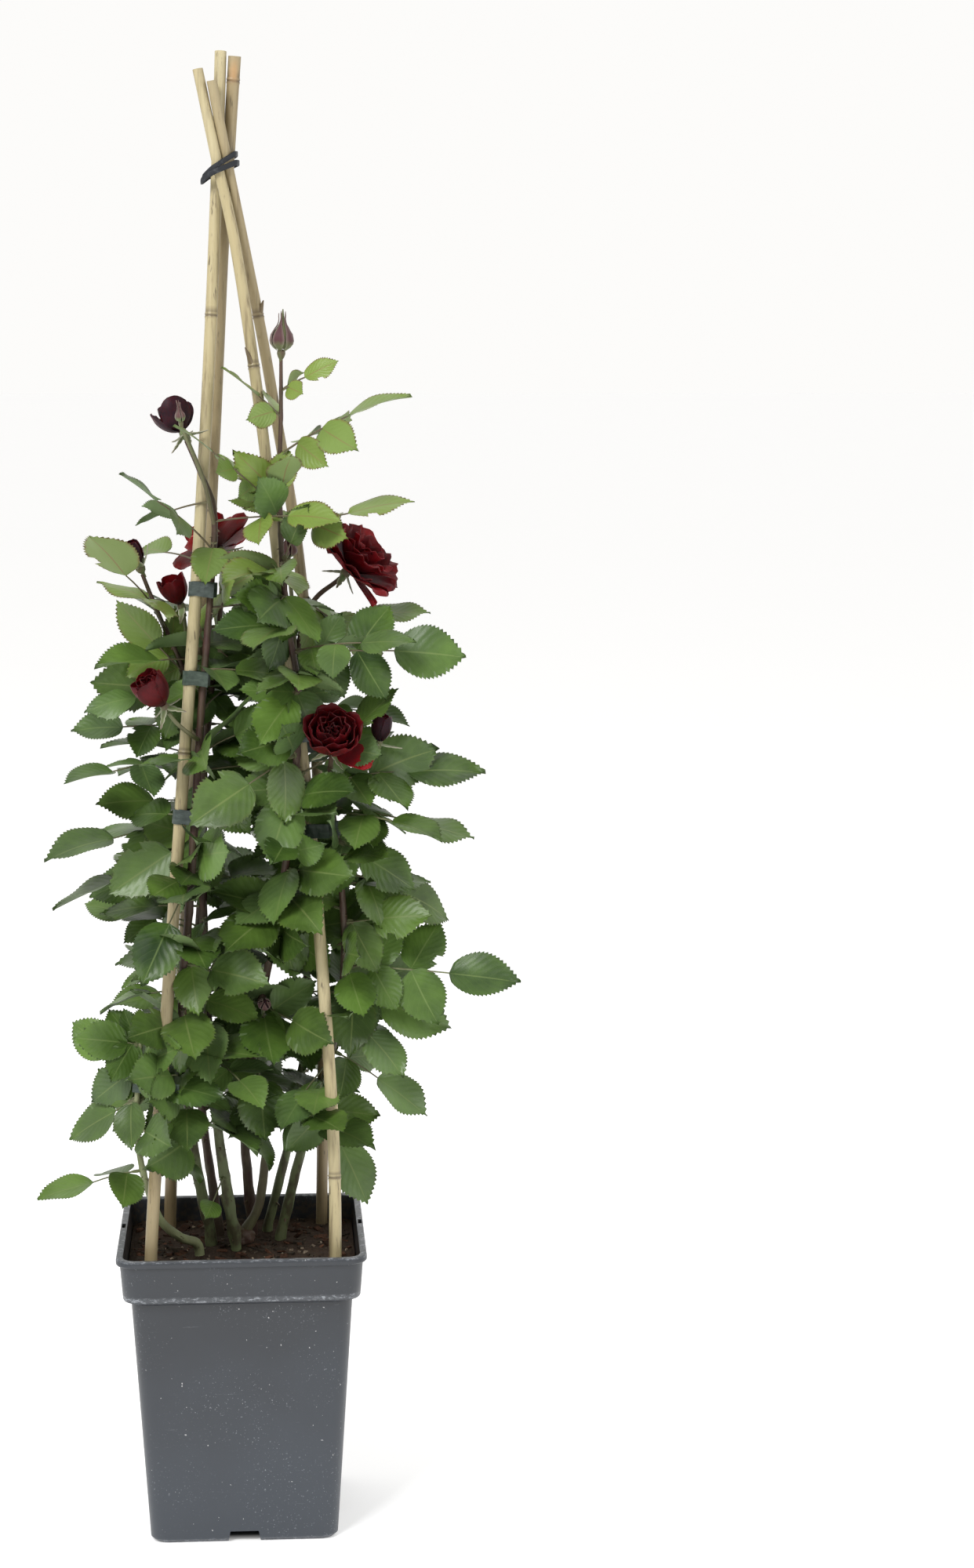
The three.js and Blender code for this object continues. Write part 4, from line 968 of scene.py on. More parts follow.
@dataclass(frozen=True)
class PotFinish:
    """Moulded slate-grey plastic with a satin skin, specks and chipped edges, a painted floor reflection low down and
    painted shade under the collar and inside.
    """

    name: str = "pot_plastic"
    slate: Colour = (0.028, 0.032, 0.039)
    blue: Colour = (0.042, 0.05, 0.062)
    shade: Colour = (0.02, 0.022, 0.025)
    deep: Colour = (0.014, 0.016, 0.019)
    worn: Colour = (0.34, 0.36, 0.39)
    collar_edge: float = 0.2085
    rim_edge: float = 0.2395

    def material(self) -> Material:
        """The plastic's material; green counts for the inside, which is painted in shade, blue for soil marks there.

        Returns:
            The material.
        """
        s = Shader(self.name, Roughness=0.4, Specular_IOR_Level=0.5)
        _, inside, damp = s.tints()
        height = s.node("SeparateXYZ", {0: s.place()}).outputs[2]
        cloud = s.noise(7, 4)
        grain = s.noise(1100, 2)
        colour = s.mix(s.step(cloud, 0.3, 0.75), self.slate, self.blue)
        # Painted reflection of the floor: bluer towards the bottom
        colour = s.mix(s.step(height, 0.02, 0.17, (0.7, 0)), colour, self.blue)
        # Painted shade: darker from 0.12 m up, under the collar and on it
        colour = s.mix(s.step(height, 0.12, 0.2, (0, 0.45)), colour, self.shade)
        chips = s.step(s.noise(210, 6, (1, 1, 2.2), 0.75), 0.5, 0.62)
        ledge = s.math("SUBTRACT", height, self.collar_edge)
        line = s.step(s.math("ABSOLUTE", ledge), 0.0006, 0.0032, (0.8, 0))
        rim = s.step(height, self.rim_edge, self.rim_edge + 0.002, (0, 0.6))
        foot = s.step(height, 0.0008, 0.005, (0.5, 0))
        edge = s.math("MAXIMUM", line, s.math("MAXIMUM", rim, foot))
        colour = s.mix(s.times(edge, s.line(chips, 0.8, 0.12)), colour, self.worn)
        hair = s.step(s.noise(60, 6, (0.5, 0.5, 6), 0.8), 0.64, 0.72)
        colour = s.mix(hair, colour, self.worn, 0.16)
        dust = s.times(s.step(s.noise(620, 2), 0.64, 0.72), s.step(s.noise(16, 3), 0.4, 0.66))
        colour = s.mix(dust, colour, self.worn, 0.42)
        colour = s.mix(s.step(s.noise(400, 1), 0.77, 0.8, (0, 0.75)), colour, (0.5, 0.5, 0.5))
        # Painted shade inside the pot
        colour = s.mix(inside, colour, self.deep)
        colour = s.mix(s.times(damp, s.step(s.noise(220, 4), 0.45, 0.6)), colour, (0.05, 0.035, 0.022))
        s.use("Roughness", s.step(cloud, 0.25, 0.8, (0.32, 0.46)))
        return s.done(colour, (grain, 0.1, 0.0003), (hair, 0.12, 0.0002), (s.noise(24, 2), 0.12, 0.002))


@dataclass(frozen=True)
class SoilFinish:
    """Damp compost and bark: brown-black with reddish and pale bits."""

    name: str = "compost"

    def material(self) -> Material:
        """The compost's material; red counts for red bark, green for pale bits, blue for chance.

        Returns:
            The material.
        """
        s = Shader(self.name, Roughness=0.9, Specular_IOR_Level=0.1)
        red, pale, chance = s.tints()
        crumb = s.noise(420, 5, rough=0.7)
        fibre = s.noise(500, 4, (1, 0.2, 1))
        colour = s.mix(s.step(crumb, 0.4, 0.75), (0.003, 0.0022, 0.0018), (0.02, 0.013, 0.009))
        colour = s.mix(s.times(red, s.step(fibre, 0.3, 0.6, (0.5, 1))), colour, (0.125, 0.058, 0.034))
        colour = s.mix(s.times(pale, s.step(fibre, 0.3, 0.6, (0.7, 1))), colour, (0.42, 0.34, 0.25))
        colour = s.mix(chance, colour, (0.045, 0.026, 0.016), 0.3)
        return s.done(colour, (crumb, 0.9, 0.0012), (fibre, 0.4, 0.0006))


@dataclass(frozen=True)
class TapeFinish:
    """Thin grey-green tying tape, creased and slightly clear."""

    name: str
    colour: Colour
    glaze: Colour

    def material(self) -> Material:
        """The tape's material.

        Returns:
            The material.
        """
        s = Shader(self.name, Roughness=0.4, Specular_IOR_Level=0.5)
        crease = s.noise(160, 4, (1, 1, 2.4))
        return s.done(s.mix(s.step(crease, 0.35, 0.75), self.colour, self.glaze), (crease, 0.4, 0.0006))


@dataclass(frozen=True)
class RubberFinish:
    """Near-black perished rubber."""

    name: str = "band_rubber"

    def material(self) -> Material:
        """The rubber's material.

        Returns:
            The material.
        """
        s = Shader(self.name, Roughness=0.62, Specular_IOR_Level=0.35)
        dust = s.step(s.noise(240, 5), 0.5, 0.8)
        return s.done(s.mix(dust, (0.012, 0.014, 0.018), (0.06, 0.066, 0.075)), (s.noise(600, 3), 0.3, 0.0004))


@dataclass(frozen=True)
class Bezier:
    """A bow through a root, past a crest, to an end, in metres."""

    root: Vector
    crest: Vector
    end: Vector

    def at(self, share: float) -> Vector:
        """The point at a share of the bow."""
        rest = 1 - share
        return self.root * (rest * rest) + self.crest * (2 * rest * share) + self.end * (share * share)

    def along(self, share: float) -> Vector:
        """The direction of the bow at a share of it."""
        return ((self.crest - self.root) * (1 - share) + (self.end - self.crest) * share).normalized()


@dataclass(frozen=True)
class Blade:
    """A leaflet's place: where it starts, its directions and its sizes in metres."""

    base: Vector
    forward: Vector
    normal: Vector
    length: float
    half: float
    fold: float
    droop: float

    def rolled(self, degrees: float, droop: float) -> "Blade":
        """The same leaflet rolled about its rib and bent down further."""
        turn = Quaternion(self.forward, radians(degrees))
        return replace(self, normal=turn @ self.normal, droop=self.droop + droop)

    def at(self, s: float, t: float, lift: float = 0) -> Vector:
        """The point at shares along and across the leaflet, lifted by a share of its length.

        Args:
            s: Share along.
            t: Share across, from -1 to 1.
            lift: The lift.

        Returns:
            The point in metres.
        """
        side = self.normal.cross(self.forward)
        height = self.fold * abs(t) * self.half + (lift - self.droop * s * s) * self.length
        return self.base + self.forward * (s * self.length) + side * (t * self.half) + self.normal * height


@dataclass(frozen=True)
class LeafPlan:
    """A compound leaf's stalk and leaflets."""

    stalk: Bezier
    side: Vector
    blades: tuple[Blade, ...]

    @classmethod
    def lay(cls, root: Vector, reach: Vector, facing: Vector, leaflets: int, length: float, draw: Draw) -> "LeafPlan":
        """Lays a leaf out as its solid was.

        Args:
            root: Where it leaves the stem, in metres.
            reach: From there to the tip of its end leaflet.
            facing: The way its upper side faces.
            leaflets: How many leaflets it has.
            length: Length of the end leaflet.
            draw: The draw that varies it.

        Returns:
            The plan.
        """
        along = reach.normalized()
        normal = (facing - along * facing.dot(along)).normalized()
        side = normal.cross(along)
        pairs = (leaflets - 1) // 2
        stalk_length = max(reach.length - length, length * 0.25)
        arch = draw.between(0.02, 0.1)
        end = root + along * stalk_length
        stalk = Bezier(root, root + along * (stalk_length / 2) + normal * (stalk_length * arch), end)
        gap = min(0.6 * length / stalk_length, 0.72 / max(pairs, 1))
        seat = LEAFLET_SEAT * MM / stalk_length
        blades = []

        def add(base: Vector, forward: Vector, up: Vector, size: float) -> None:
            """Adds a leaflet of the next draws."""
            half = size * LEAF_WIDTH_RATIO * draw.between(0.92, 1.08)
            blades.append(Blade(base, forward, up, size, half, draw.between(0.1, 0.32), draw.between(0.02, 0.16)))

        for pair in range(pairs, 0, -1):
            share = 1 - pair * gap
            rail = (stalk.at(share - seat) + stalk.at(share + seat)) / 2
            for hand in (1, -1):
                spread = radians(draw.between(56, 74))
                drop = radians(draw.between(-4, 24))
                flat = along * cos(spread) + side * (hand * sin(spread))
                forward = (flat * cos(drop) - normal * sin(drop)).normalized()
                up = (normal - forward * normal.dot(forward)).normalized()
                size = length * (0.86 if pair == 1 else 0.7) * draw.between(0.92, 1.06)
                add(rail + side * (hand * LEAF_STALK_HALF * MM), forward, up, size)
        add(end, along, normal, length)
        return cls(stalk, side, tuple(blades))

    @classmethod
    def find(cls, row: LeafRow, seed: int, curve: Curve, corners: kdtree.KDTree) -> "LeafPlan | None":
        """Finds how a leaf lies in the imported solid.

        Args:
            row: The leaf's line of the table.
            seed: Its number there.
            curve: The stem it grows on.
            corners: The corners of the shoot's solid.

        Returns:
            The plan whose leaflets end at the solid's corners, or none.
        """
        root = curve.at(curve.share_at(row.height))
        reach = row.tip * MM - root
        facing = Vector(row.facing.value)
        hinge = UP.cross(reach).normalized()
        for ring in range(BEND_RINGS + 1):
            for turn in range(-ring, ring + 1):
                for tilt in range(-ring, ring + 1):
                    if max(abs(turn), abs(tilt)) != ring:
                        continue
                    bend = (Quaternion(UP, radians(turn * BEND_STEP))
                            @ Quaternion(hinge, radians(tilt * BEND_STEP)))
                    plan = cls.lay(root, bend @ reach, bend @ facing, row.leaflets, row.length * MM, Draw(seed))
                    misses = sum(corners.find(blade.at(1, 0))[2] > 0.05 * MM for blade in plan.blades)
                    if misses <= (len(plan.blades) > 1):
                        return plan
        return None


@dataclass(frozen=True)
class LeafletCut:
    """The cut of the leaflets: an oval with a drawn-out tip and a toothed margin."""

    rows: int = 12
    columns: int = 4
    tooth: float = 0.07
    thickness: float = 0.0065
    variants: int = 10

    def outline(self, s: float) -> float:
        """Half the width at a share of the length."""
        return 0.07 * (1 - s) + 1.03 * max(sin(pi * s ** 0.8), 0.0) ** (0.6 + 0.5 * s * s)

    def template(self, seed: int) -> Mesh:
        """Cuts one leaflet, whose corners hold its shares along, across and up.

        Args:
            seed: Which variant it is.

        Returns:
            The leaflet as a mesh.
        """
        chance = Random(seed)
        piece = Piece(f"leaflet_{seed}")
        mesh = piece.mesh
        verts = bmesh.ops.create_grid(mesh, x_segments=self.columns, y_segments=self.rows, size=0.5)["verts"]
        margin = [e for e in mesh.edges if e.is_boundary and abs(abs(e.verts[0].co.x) - 0.5) < 1e-4
                  and abs(abs(e.verts[1].co.x) - 0.5) < 1e-4]
        bmesh.ops.subdivide_edges(mesh, edges=margin, cuts=2)
        for face in mesh.faces:
            face.smooth = True
            for loop in face.loops:
                loop[piece.map].uv = (loop.vert.co.x + 0.5, loop.vert.co.y + 0.5)
        steps = self.rows * 3
        wave, phase, lean = chance.uniform(0.006, 0.028), chance.uniform(0, 6), chance.uniform(-0.05, 0.05)
        bite = (chance.uniform(0.3, 0.8), chance.choice((-1, 1))) if seed % 4 == 3 else None
        curl = chance.uniform(-0.02, 0.09)
        for vert in mesh.verts:
            u, w = vert.co.x * 2, vert.co.y + 0.5
            edge = abs(u) > 0.999
            s = w + 0.03 * (abs(u) ** 2) * sin(pi * w)
            width = self.outline(w)
            if edge and 0.02 < w < 0.97:
                tooth = self.tooth * (0.6 if round(w * steps) % 2 else -0.6)
                width += tooth
                s += tooth * 0.25
            t = u * width + lean * sin(pi * w)
            if bite and edge and abs(w - bite[0]) < 0.07 and u * bite[1] > 0:
                t *= 0.74
            up = wave * sin(phase + 9 * w + (2 if u > 0 else 0)) * abs(u) ** 2
            up -= 0.012 * bump_at(u, 0.25) + curl * w ** 3 * (1 - abs(u)) * 0.6
            vert.co = (s, t, up)
        bmesh.ops.remove_doubles(mesh, verts=mesh.verts[:], dist=1e-4)
        copied = bmesh.ops.duplicate(mesh, geom=mesh.verts[:] + mesh.edges[:] + mesh.faces[:])["geom"]
        back = [item for item in copied if isinstance(item, BMFace)]
        bmesh.ops.reverse_faces(mesh, faces=back)
        for face in back:
            face.material_index = 1
        for vert in (item for item in copied if isinstance(item, BMVert)):
            if not vert.is_boundary:
                vert.co.z -= self.thickness
        bmesh.ops.remove_doubles(mesh, verts=mesh.verts[:], dist=1e-5)
        return new_mesh(piece.name, mesh)


@dataclass
class Thicket:
    """What a further leaf keeps clear of: canes, blooms, the eye's way to the blooms and other leaflets."""

    leaflets: list[Vector] = field(default_factory=list)
    leaf_gap: tuple[float, float] = (17.5 * MM, 13.5 * MM)
    cane_gap: float = 11 * MM
    bloom_gap: tuple[float, float] = (13, 0.5)
    canes: kdtree.KDTree = field(init=False)

    def __post_init__(self) -> None:
        """Notes the places of the canes."""
        self.canes = tree_of([Curve(line.points).at(share) for line in CANES.values() for share in even(160)])

    def note(self, plan: LeafPlan) -> None:
        """Notes a leaf that stands already."""
        self.leaflets += [blade.at(0.5, 0) for blade in plan.blades]

    def bars(self, spot: Vector) -> bool:
        """Whether a leaflet may not lie at a place.

        Args:
            spot: The place.

        Returns:
            True where something bars it.
        """
        low, high = FILL_BOX
        if any(not a * MM < value < b * MM for a, value, b in zip(low, spot, high)):
            return True
        height = spot.z / MM
        if not smooth_through(FILL_LEFT, height) * MM < spot.x < smooth_through(FILL_RIGHT, height) * MM:
            return True
        if self.canes.find(spot)[2] < self.cane_gap:
            return True
        for plan in BLOOMS.values():
            centre = (Vector(plan.at) + Vector(plan.axis).normalized() * 14) * MM
            least, share = self.bloom_gap
            room = (least + share * max((layer.length for layer in plan.layers), default=10)) * MM
            ray = centre - EYE
            near = ray.normalized()
            run = (spot - EYE).dot(near)
            aside = (spot - EYE - near * run).length
            if (spot - centre).length < room or (aside < room and run < ray.length):
                return True
        return False

    def takes(self, plan: LeafPlan) -> bool:
        """Notes a leaf if it finds room.

        Args:
            plan: The leaf.

        Returns:
            Whether it does.
        """
        for blade in plan.blades:
            if any(self.bars(blade.at(s, 0)) for s in (0.3, 0.7, 1)):
                return False
            middle = blade.at(0.5, 0)
            gap = lerp(*self.leaf_gap, smooth(0.5, 0.75, middle.z))
            if any((middle - spot).length < gap for spot in self.leaflets):
                return False
        self.note(plan)
        return True


@dataclass
class Foliage:
    """The leaves of one shoot."""

    name: str
    materials: Sequence[Material]
    templates: Sequence[Mesh]
    plans: list[tuple[LeafPlan, int]] = field(default_factory=list)

    def find(self, curve: Curve) -> None:
        """Finds the shoot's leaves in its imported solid.

        Args:
            curve: The stem they grow on.
        """
        corners = corners_of(self.name)
        for seed, row in enumerate(map(LeafRow.read, LEAVES.strip().splitlines()), start=1):
            if row.shoot != self.name:
                continue
            plan = LeafPlan.find(row, seed, curve, corners)
            if plan is None:
                LOG.info("leaf %d of %s isn't in the solid", seed, self.name)
            else:
                self.plans.append((plan, seed))

    def fill(self, curve: Curve, thicket: Thicket) -> None:
        """Adds the leaves that stand between those of the solid.

        Args:
            curve: The stem they grow on.
            thicket: What stands in their way.
        """
        chance = Random(len(self.name) * 7 + len(self.plans))
        veil = Curve(CANES[VEILS[self.name]].points) if self.name in VEILS else None
        top = min(curve.points[-1].z - 12, FILL_TOP)
        height, turn = FILL_FOOT + chance.uniform(0, FILL_STEP), chance.uniform(0, 6)
        while height < top:
            root = curve.at(curve.share_at(height))
            for _ in range(FILL_TRIES):
                turn += GOLDEN_ANGLE + chance.gauss(0, 0.5)
                out = spoke(turn)
                reach = out * chance.uniform(*FILL_REACH) * MM + UP * chance.gauss(4, 20) * MM
                facing = out * chance.uniform(0.2, 0.9) + Vector((0, -0.3, chance.uniform(0.6, 1.1)))
                if veil and chance.random() < VEIL_SHARE:
                    before = Vector((chance.uniform(-24, 24), chance.uniform(-52, -26), chance.uniform(-12, 30))) * MM
                    reach = veil.at(veil.share_at(height)) + before - root
                    facing = Vector((chance.gauss(0, 0.35), -1, chance.uniform(0.2, 0.9)))
                leaflets = chance.choice(FILL_COUNTS)
                length = chance.uniform(*FILL_LENGTH) * lerp(1, 0.74, smooth(720, 840, height)) * MM
                seed = FILL_SEED + len(self.plans) + 40 * len(self.name)
                plan = LeafPlan.lay(root, reach, facing, leaflets, length, Draw(seed))
                plan = replace(plan, blades=tuple(blade.rolled(chance.gauss(0, 20), chance.uniform(0, 0.16))
                                                  for blade in plan.blades))
                if thicket.takes(plan):
                    self.plans.append((plan, seed))
                    break
            height += FILL_STEP * chance.uniform(0.7, 1.3)

    def youth(self, height: float, chance: float) -> float:
        """How young a leaf at a height looks."""
        return min(max(smooth(0.74, 0.9, height + 0.2 * (chance - 0.5)) * 0.95, 0.12 * chance), 1.0)

    def leaflet(self, piece: Piece, blade: Blade, template: Mesh, tint: Colour, bow: float, twist: float) -> None:
        """Lays one leaflet out.

        Args:
            piece: The leaves in the making.
            blade: Where it lies.
            template: Its cut.
            tint: Its youth, chance and share of painted sheen.
            bow: How far its sides bow down, as a share of its length.
            twist: How far its tip is turned about its rib, in the same measure.
        """
        old_verts, old_faces = len(piece.mesh.verts), len(piece.mesh.faces)
        piece.mesh.from_mesh(template)
        piece.mesh.verts.ensure_lookup_table()
        piece.mesh.faces.ensure_lookup_table()
        for vert in piece.mesh.verts[old_verts:]:
            s, t, up = vert.co
            vert.co = blade.at(s, t, up - bow * t * t + twist * t * s)
        piece.paint(piece.mesh.faces[old_faces:], tint)

    def build(self) -> Object:
        """Builds the leaves as one piece; young leaflets come out a little larger than their solids.

        Returns:
            The leaves.
        """
        piece = Piece(f"leaves_{self.name}")
        for plan, seed in self.plans:
            chance = Random(seed * 17)
            youth = self.youth(plan.stalk.end.z, chance.random())
            for i, blade in enumerate(plan.blades):
                # The third tint is the share of painted sheen, mostly small
                tint = (youth, min(max(chance.gauss(0.42, 0.27), 0.0), 1.0), chance.random() ** 3)
                template = self.templates[(seed * 5 + i) % len(self.templates)]
                blade = blade.rolled(chance.gauss(0, 9 + 14 * youth), 0.06 * youth)
                blade = replace(blade, length=blade.length * (1 + 0.1 * youth), half=blade.half * (1 + 0.02 * youth))
                self.leaflet(piece, blade, template, tint, chance.uniform(-0.02, 0.08), chance.gauss(0, 0.07))
        for vert in piece.mesh.verts:
            if vert.co.y < FRONT_REACH:
                vert.co.y = lerp(FRONT_REACH, vert.co.y, FRONT_EASE)
        return piece.finish(Slot.FOLIAGE, f"shoot_{self.name}", self.materials, sharp=80)


@dataclass
class Shoot:
    """One stem of the rose with its stalks, leaf stalks and thorns."""

    name: str
    stem: Stem
    number: int
    bark: Material
    foliage: Foliage
    sides: int = 10
    ring_gap: float = 5 * MM
    leaf_stalk: tuple[float, float] = (1.0 * MM, 0.62 * MM)
    brown_foot: tuple[str, ...] = ("back_left", "right_top")
    green_foot: str = "low_left"
    prickles: int = 26
    wing: tuple[float, float] = (9 * MM, 2.2 * MM)
    curve: Curve = field(init=False)
    piece: Piece = field(init=False)

    def __post_init__(self) -> None:
        """Runs the line through its points and starts the piece."""
        self.curve = Curve(self.stem.points)
        self.piece = Piece(f"stem_{self.name}")

    def radius_at(self, share: float) -> float:
        """Radius of the stem at a share of its line, in metres."""
        return lerp(*self.stem.radius, share) * MM

    def woody(self, height: float) -> float:
        """How brown the bark is at a height: green low down on most stems, purple-brown above."""
        foot = 0.75 if self.name in self.brown_foot else 0.25
        return lerp(foot, 1, smooth(0.31, 0.48, height))

    def skin(self) -> None:
        """The stem's own skin, a little thicker where a leaf leaves it."""
        roots = [plan.stalk.root for plan, _ in self.foliage.plans]
        rings = max(int(self.curve.length() / self.ring_gap), 8)

        def radius(u: float, w: float) -> float:
            """The stem's thickness with its swellings, its grain and its knotty foot.

            Args:
                u: Share across or round.
                w: Share along.

            Returns:
                The radius in metres.
            """
            spot = self.curve.at(w)
            near = min(((spot - root).length for root in roots), default=1.0)
            swell = 0.16 * bump_at(near, 2.6 * MM)
            round_it = spoke(tau * u)
            rough = 0.05 * noise.noise(round_it * 3 + UP * (spot.z * 160))
            low = 1 - smooth(0.23, 0.34, spot.z)
            knotty = low * (0.24 + 0.4 * noise.noise(round_it * 0.8 + UP * (spot.z * 70 + self.number * 9)))
            return self.radius_at(w) * (1 + swell + rough + knotty)

        pale = 0.55 if self.name == self.green_foot else 0.0
        self.piece.tube(self.curve, even(rings), radius, self.sides,
                        lambda u, w: (self.woody(self.curve.at(w).z), 0.0, pale))

    def stalks(self) -> None:
        """The side stalks that carry flowers."""
        for name, height, points in STALKS:
            if name != self.name:
                continue
            root = self.curve.at(self.curve.share_at(height)) / MM
            curve = Curve([tuple(root), *points])
            thick, thin = STALK_RADIUS
            rings = max(int(curve.length() / (3 * MM)), 5)
            self.piece.tube(curve, even(rings), lambda u, w: lerp(thick, thin, w) * MM * (1 + 0.12 * w ** 6), 8,
                            lambda u, w: (lerp(0.75, 0.35, w), 0.3, 0.25))

    def leaf_stalks(self) -> None:
        """The leaf stalks, with a pair of small wings where each leaves the stem."""
        thick, thin = self.leaf_stalk
        for plan, _ in self.foliage.plans:
            red = 0.25 + 0.7 * smooth(0.5, 0.8, plan.stalk.root.z)
            self.piece.tube(plan.stalk, even(7), lambda u, w: lerp(thick, thin, w ** 0.6), 6,
                            lambda u, w: (red, 0.35, 0.2))
            self.wings(plan, red)

    def wings(self, plan: LeafPlan, red: float) -> None:
        """The two stipules along the foot of a leaf stalk.

        Args:
            plan: The leaf.
            red: How red its stalk is.
        """
        length, width = self.wing
        reach = min(length / max((plan.stalk.end - plan.stalk.root).length, 1e-4), 0.5)
        for hand in (1, -1):

            def place(u: float, w: float) -> Vector:
                """A place on the wing."""
                spread = width * (0.25 + sin(pi * min(w * 0.75 + 0.1, 1)) * 0.75) * u
                return plan.stalk.at(w * reach) + plan.side * (hand * (0.3 * MM + spread))

            faces = self.piece.sheet(1, 4, place, lambda u, w: (red * 0.6, 0.2, 0.3), 0.3 * MM)
            if hand < 0:
                bmesh.ops.reverse_faces(self.piece.mesh, faces=[f for f in faces if f.is_valid])

    def thorns(self) -> None:
        """The hooked thorns, where the solid has them, and finer prickles between."""
        corners = corners_of(self.name)
        draw = Draw(self.number + 201)
        top = min(THORN_TOP, self.stem.points[-1][2] - 30)
        height = SOIL_LEVEL + 14
        while height < top:
            share = self.curve.share_at(height + draw.between(0, 20))
            outward = (spoke(draw.between(0, tau)) - UP * 0.35).normalized()
            root = self.curve.at(share)
            length = self.radius_at(share) + THORN_LENGTH * MM
            if corners.find(root + outward * length)[2] < 0.2 * MM:
                self.thorn(share, outward, length, 1.7 * MM)
            height += THORN_SPACING
        chance = Random(self.number)
        for _ in range(self.prickles):
            share = chance.uniform(0.12, 0.8)
            outward = (spoke(chance.uniform(0, tau)) - UP * 0.3).normalized()
            length = self.radius_at(share) + chance.uniform(1.2, 3.0) * MM
            self.thorn(share, outward, length, chance.uniform(0.5, 1.0) * MM)

    def thorn(self, share: float, outward: Vector, length: float, foot: float) -> None:
        """One thorn that hooks down at its point.

        Args:
            share: Where on the stem it stands.
            outward: The way it points.
            length: Its reach from the stem's middle line.
            foot: Its radius there.
        """
        root = self.curve.at(share) + outward * (self.radius_at(share) * 0.55)
        end = self.curve.at(share) + outward * length
        line = Bezier(root, (root + end) / 2 + UP * (0.18 * foot), end)
        self.piece.tube(line, [0, 0.3, 0.6, 1], lambda u, w: foot * max(1 - w, 0.04) ** 0.9, 5,
                        lambda u, w: (0.7, 0.5 + 0.5 * w, 0.25 * (1 - w)))

    def build(self) -> Object:
        """Builds the shoot's woody parts as one piece.

        Returns:
            The stem.
        """
        self.skin()
        self.stalks()
        self.leaf_stalks()
        self.thorns()
        return self.piece.finish(Slot.FOLIAGE, f"shoot_{self.name}", [self.bark])


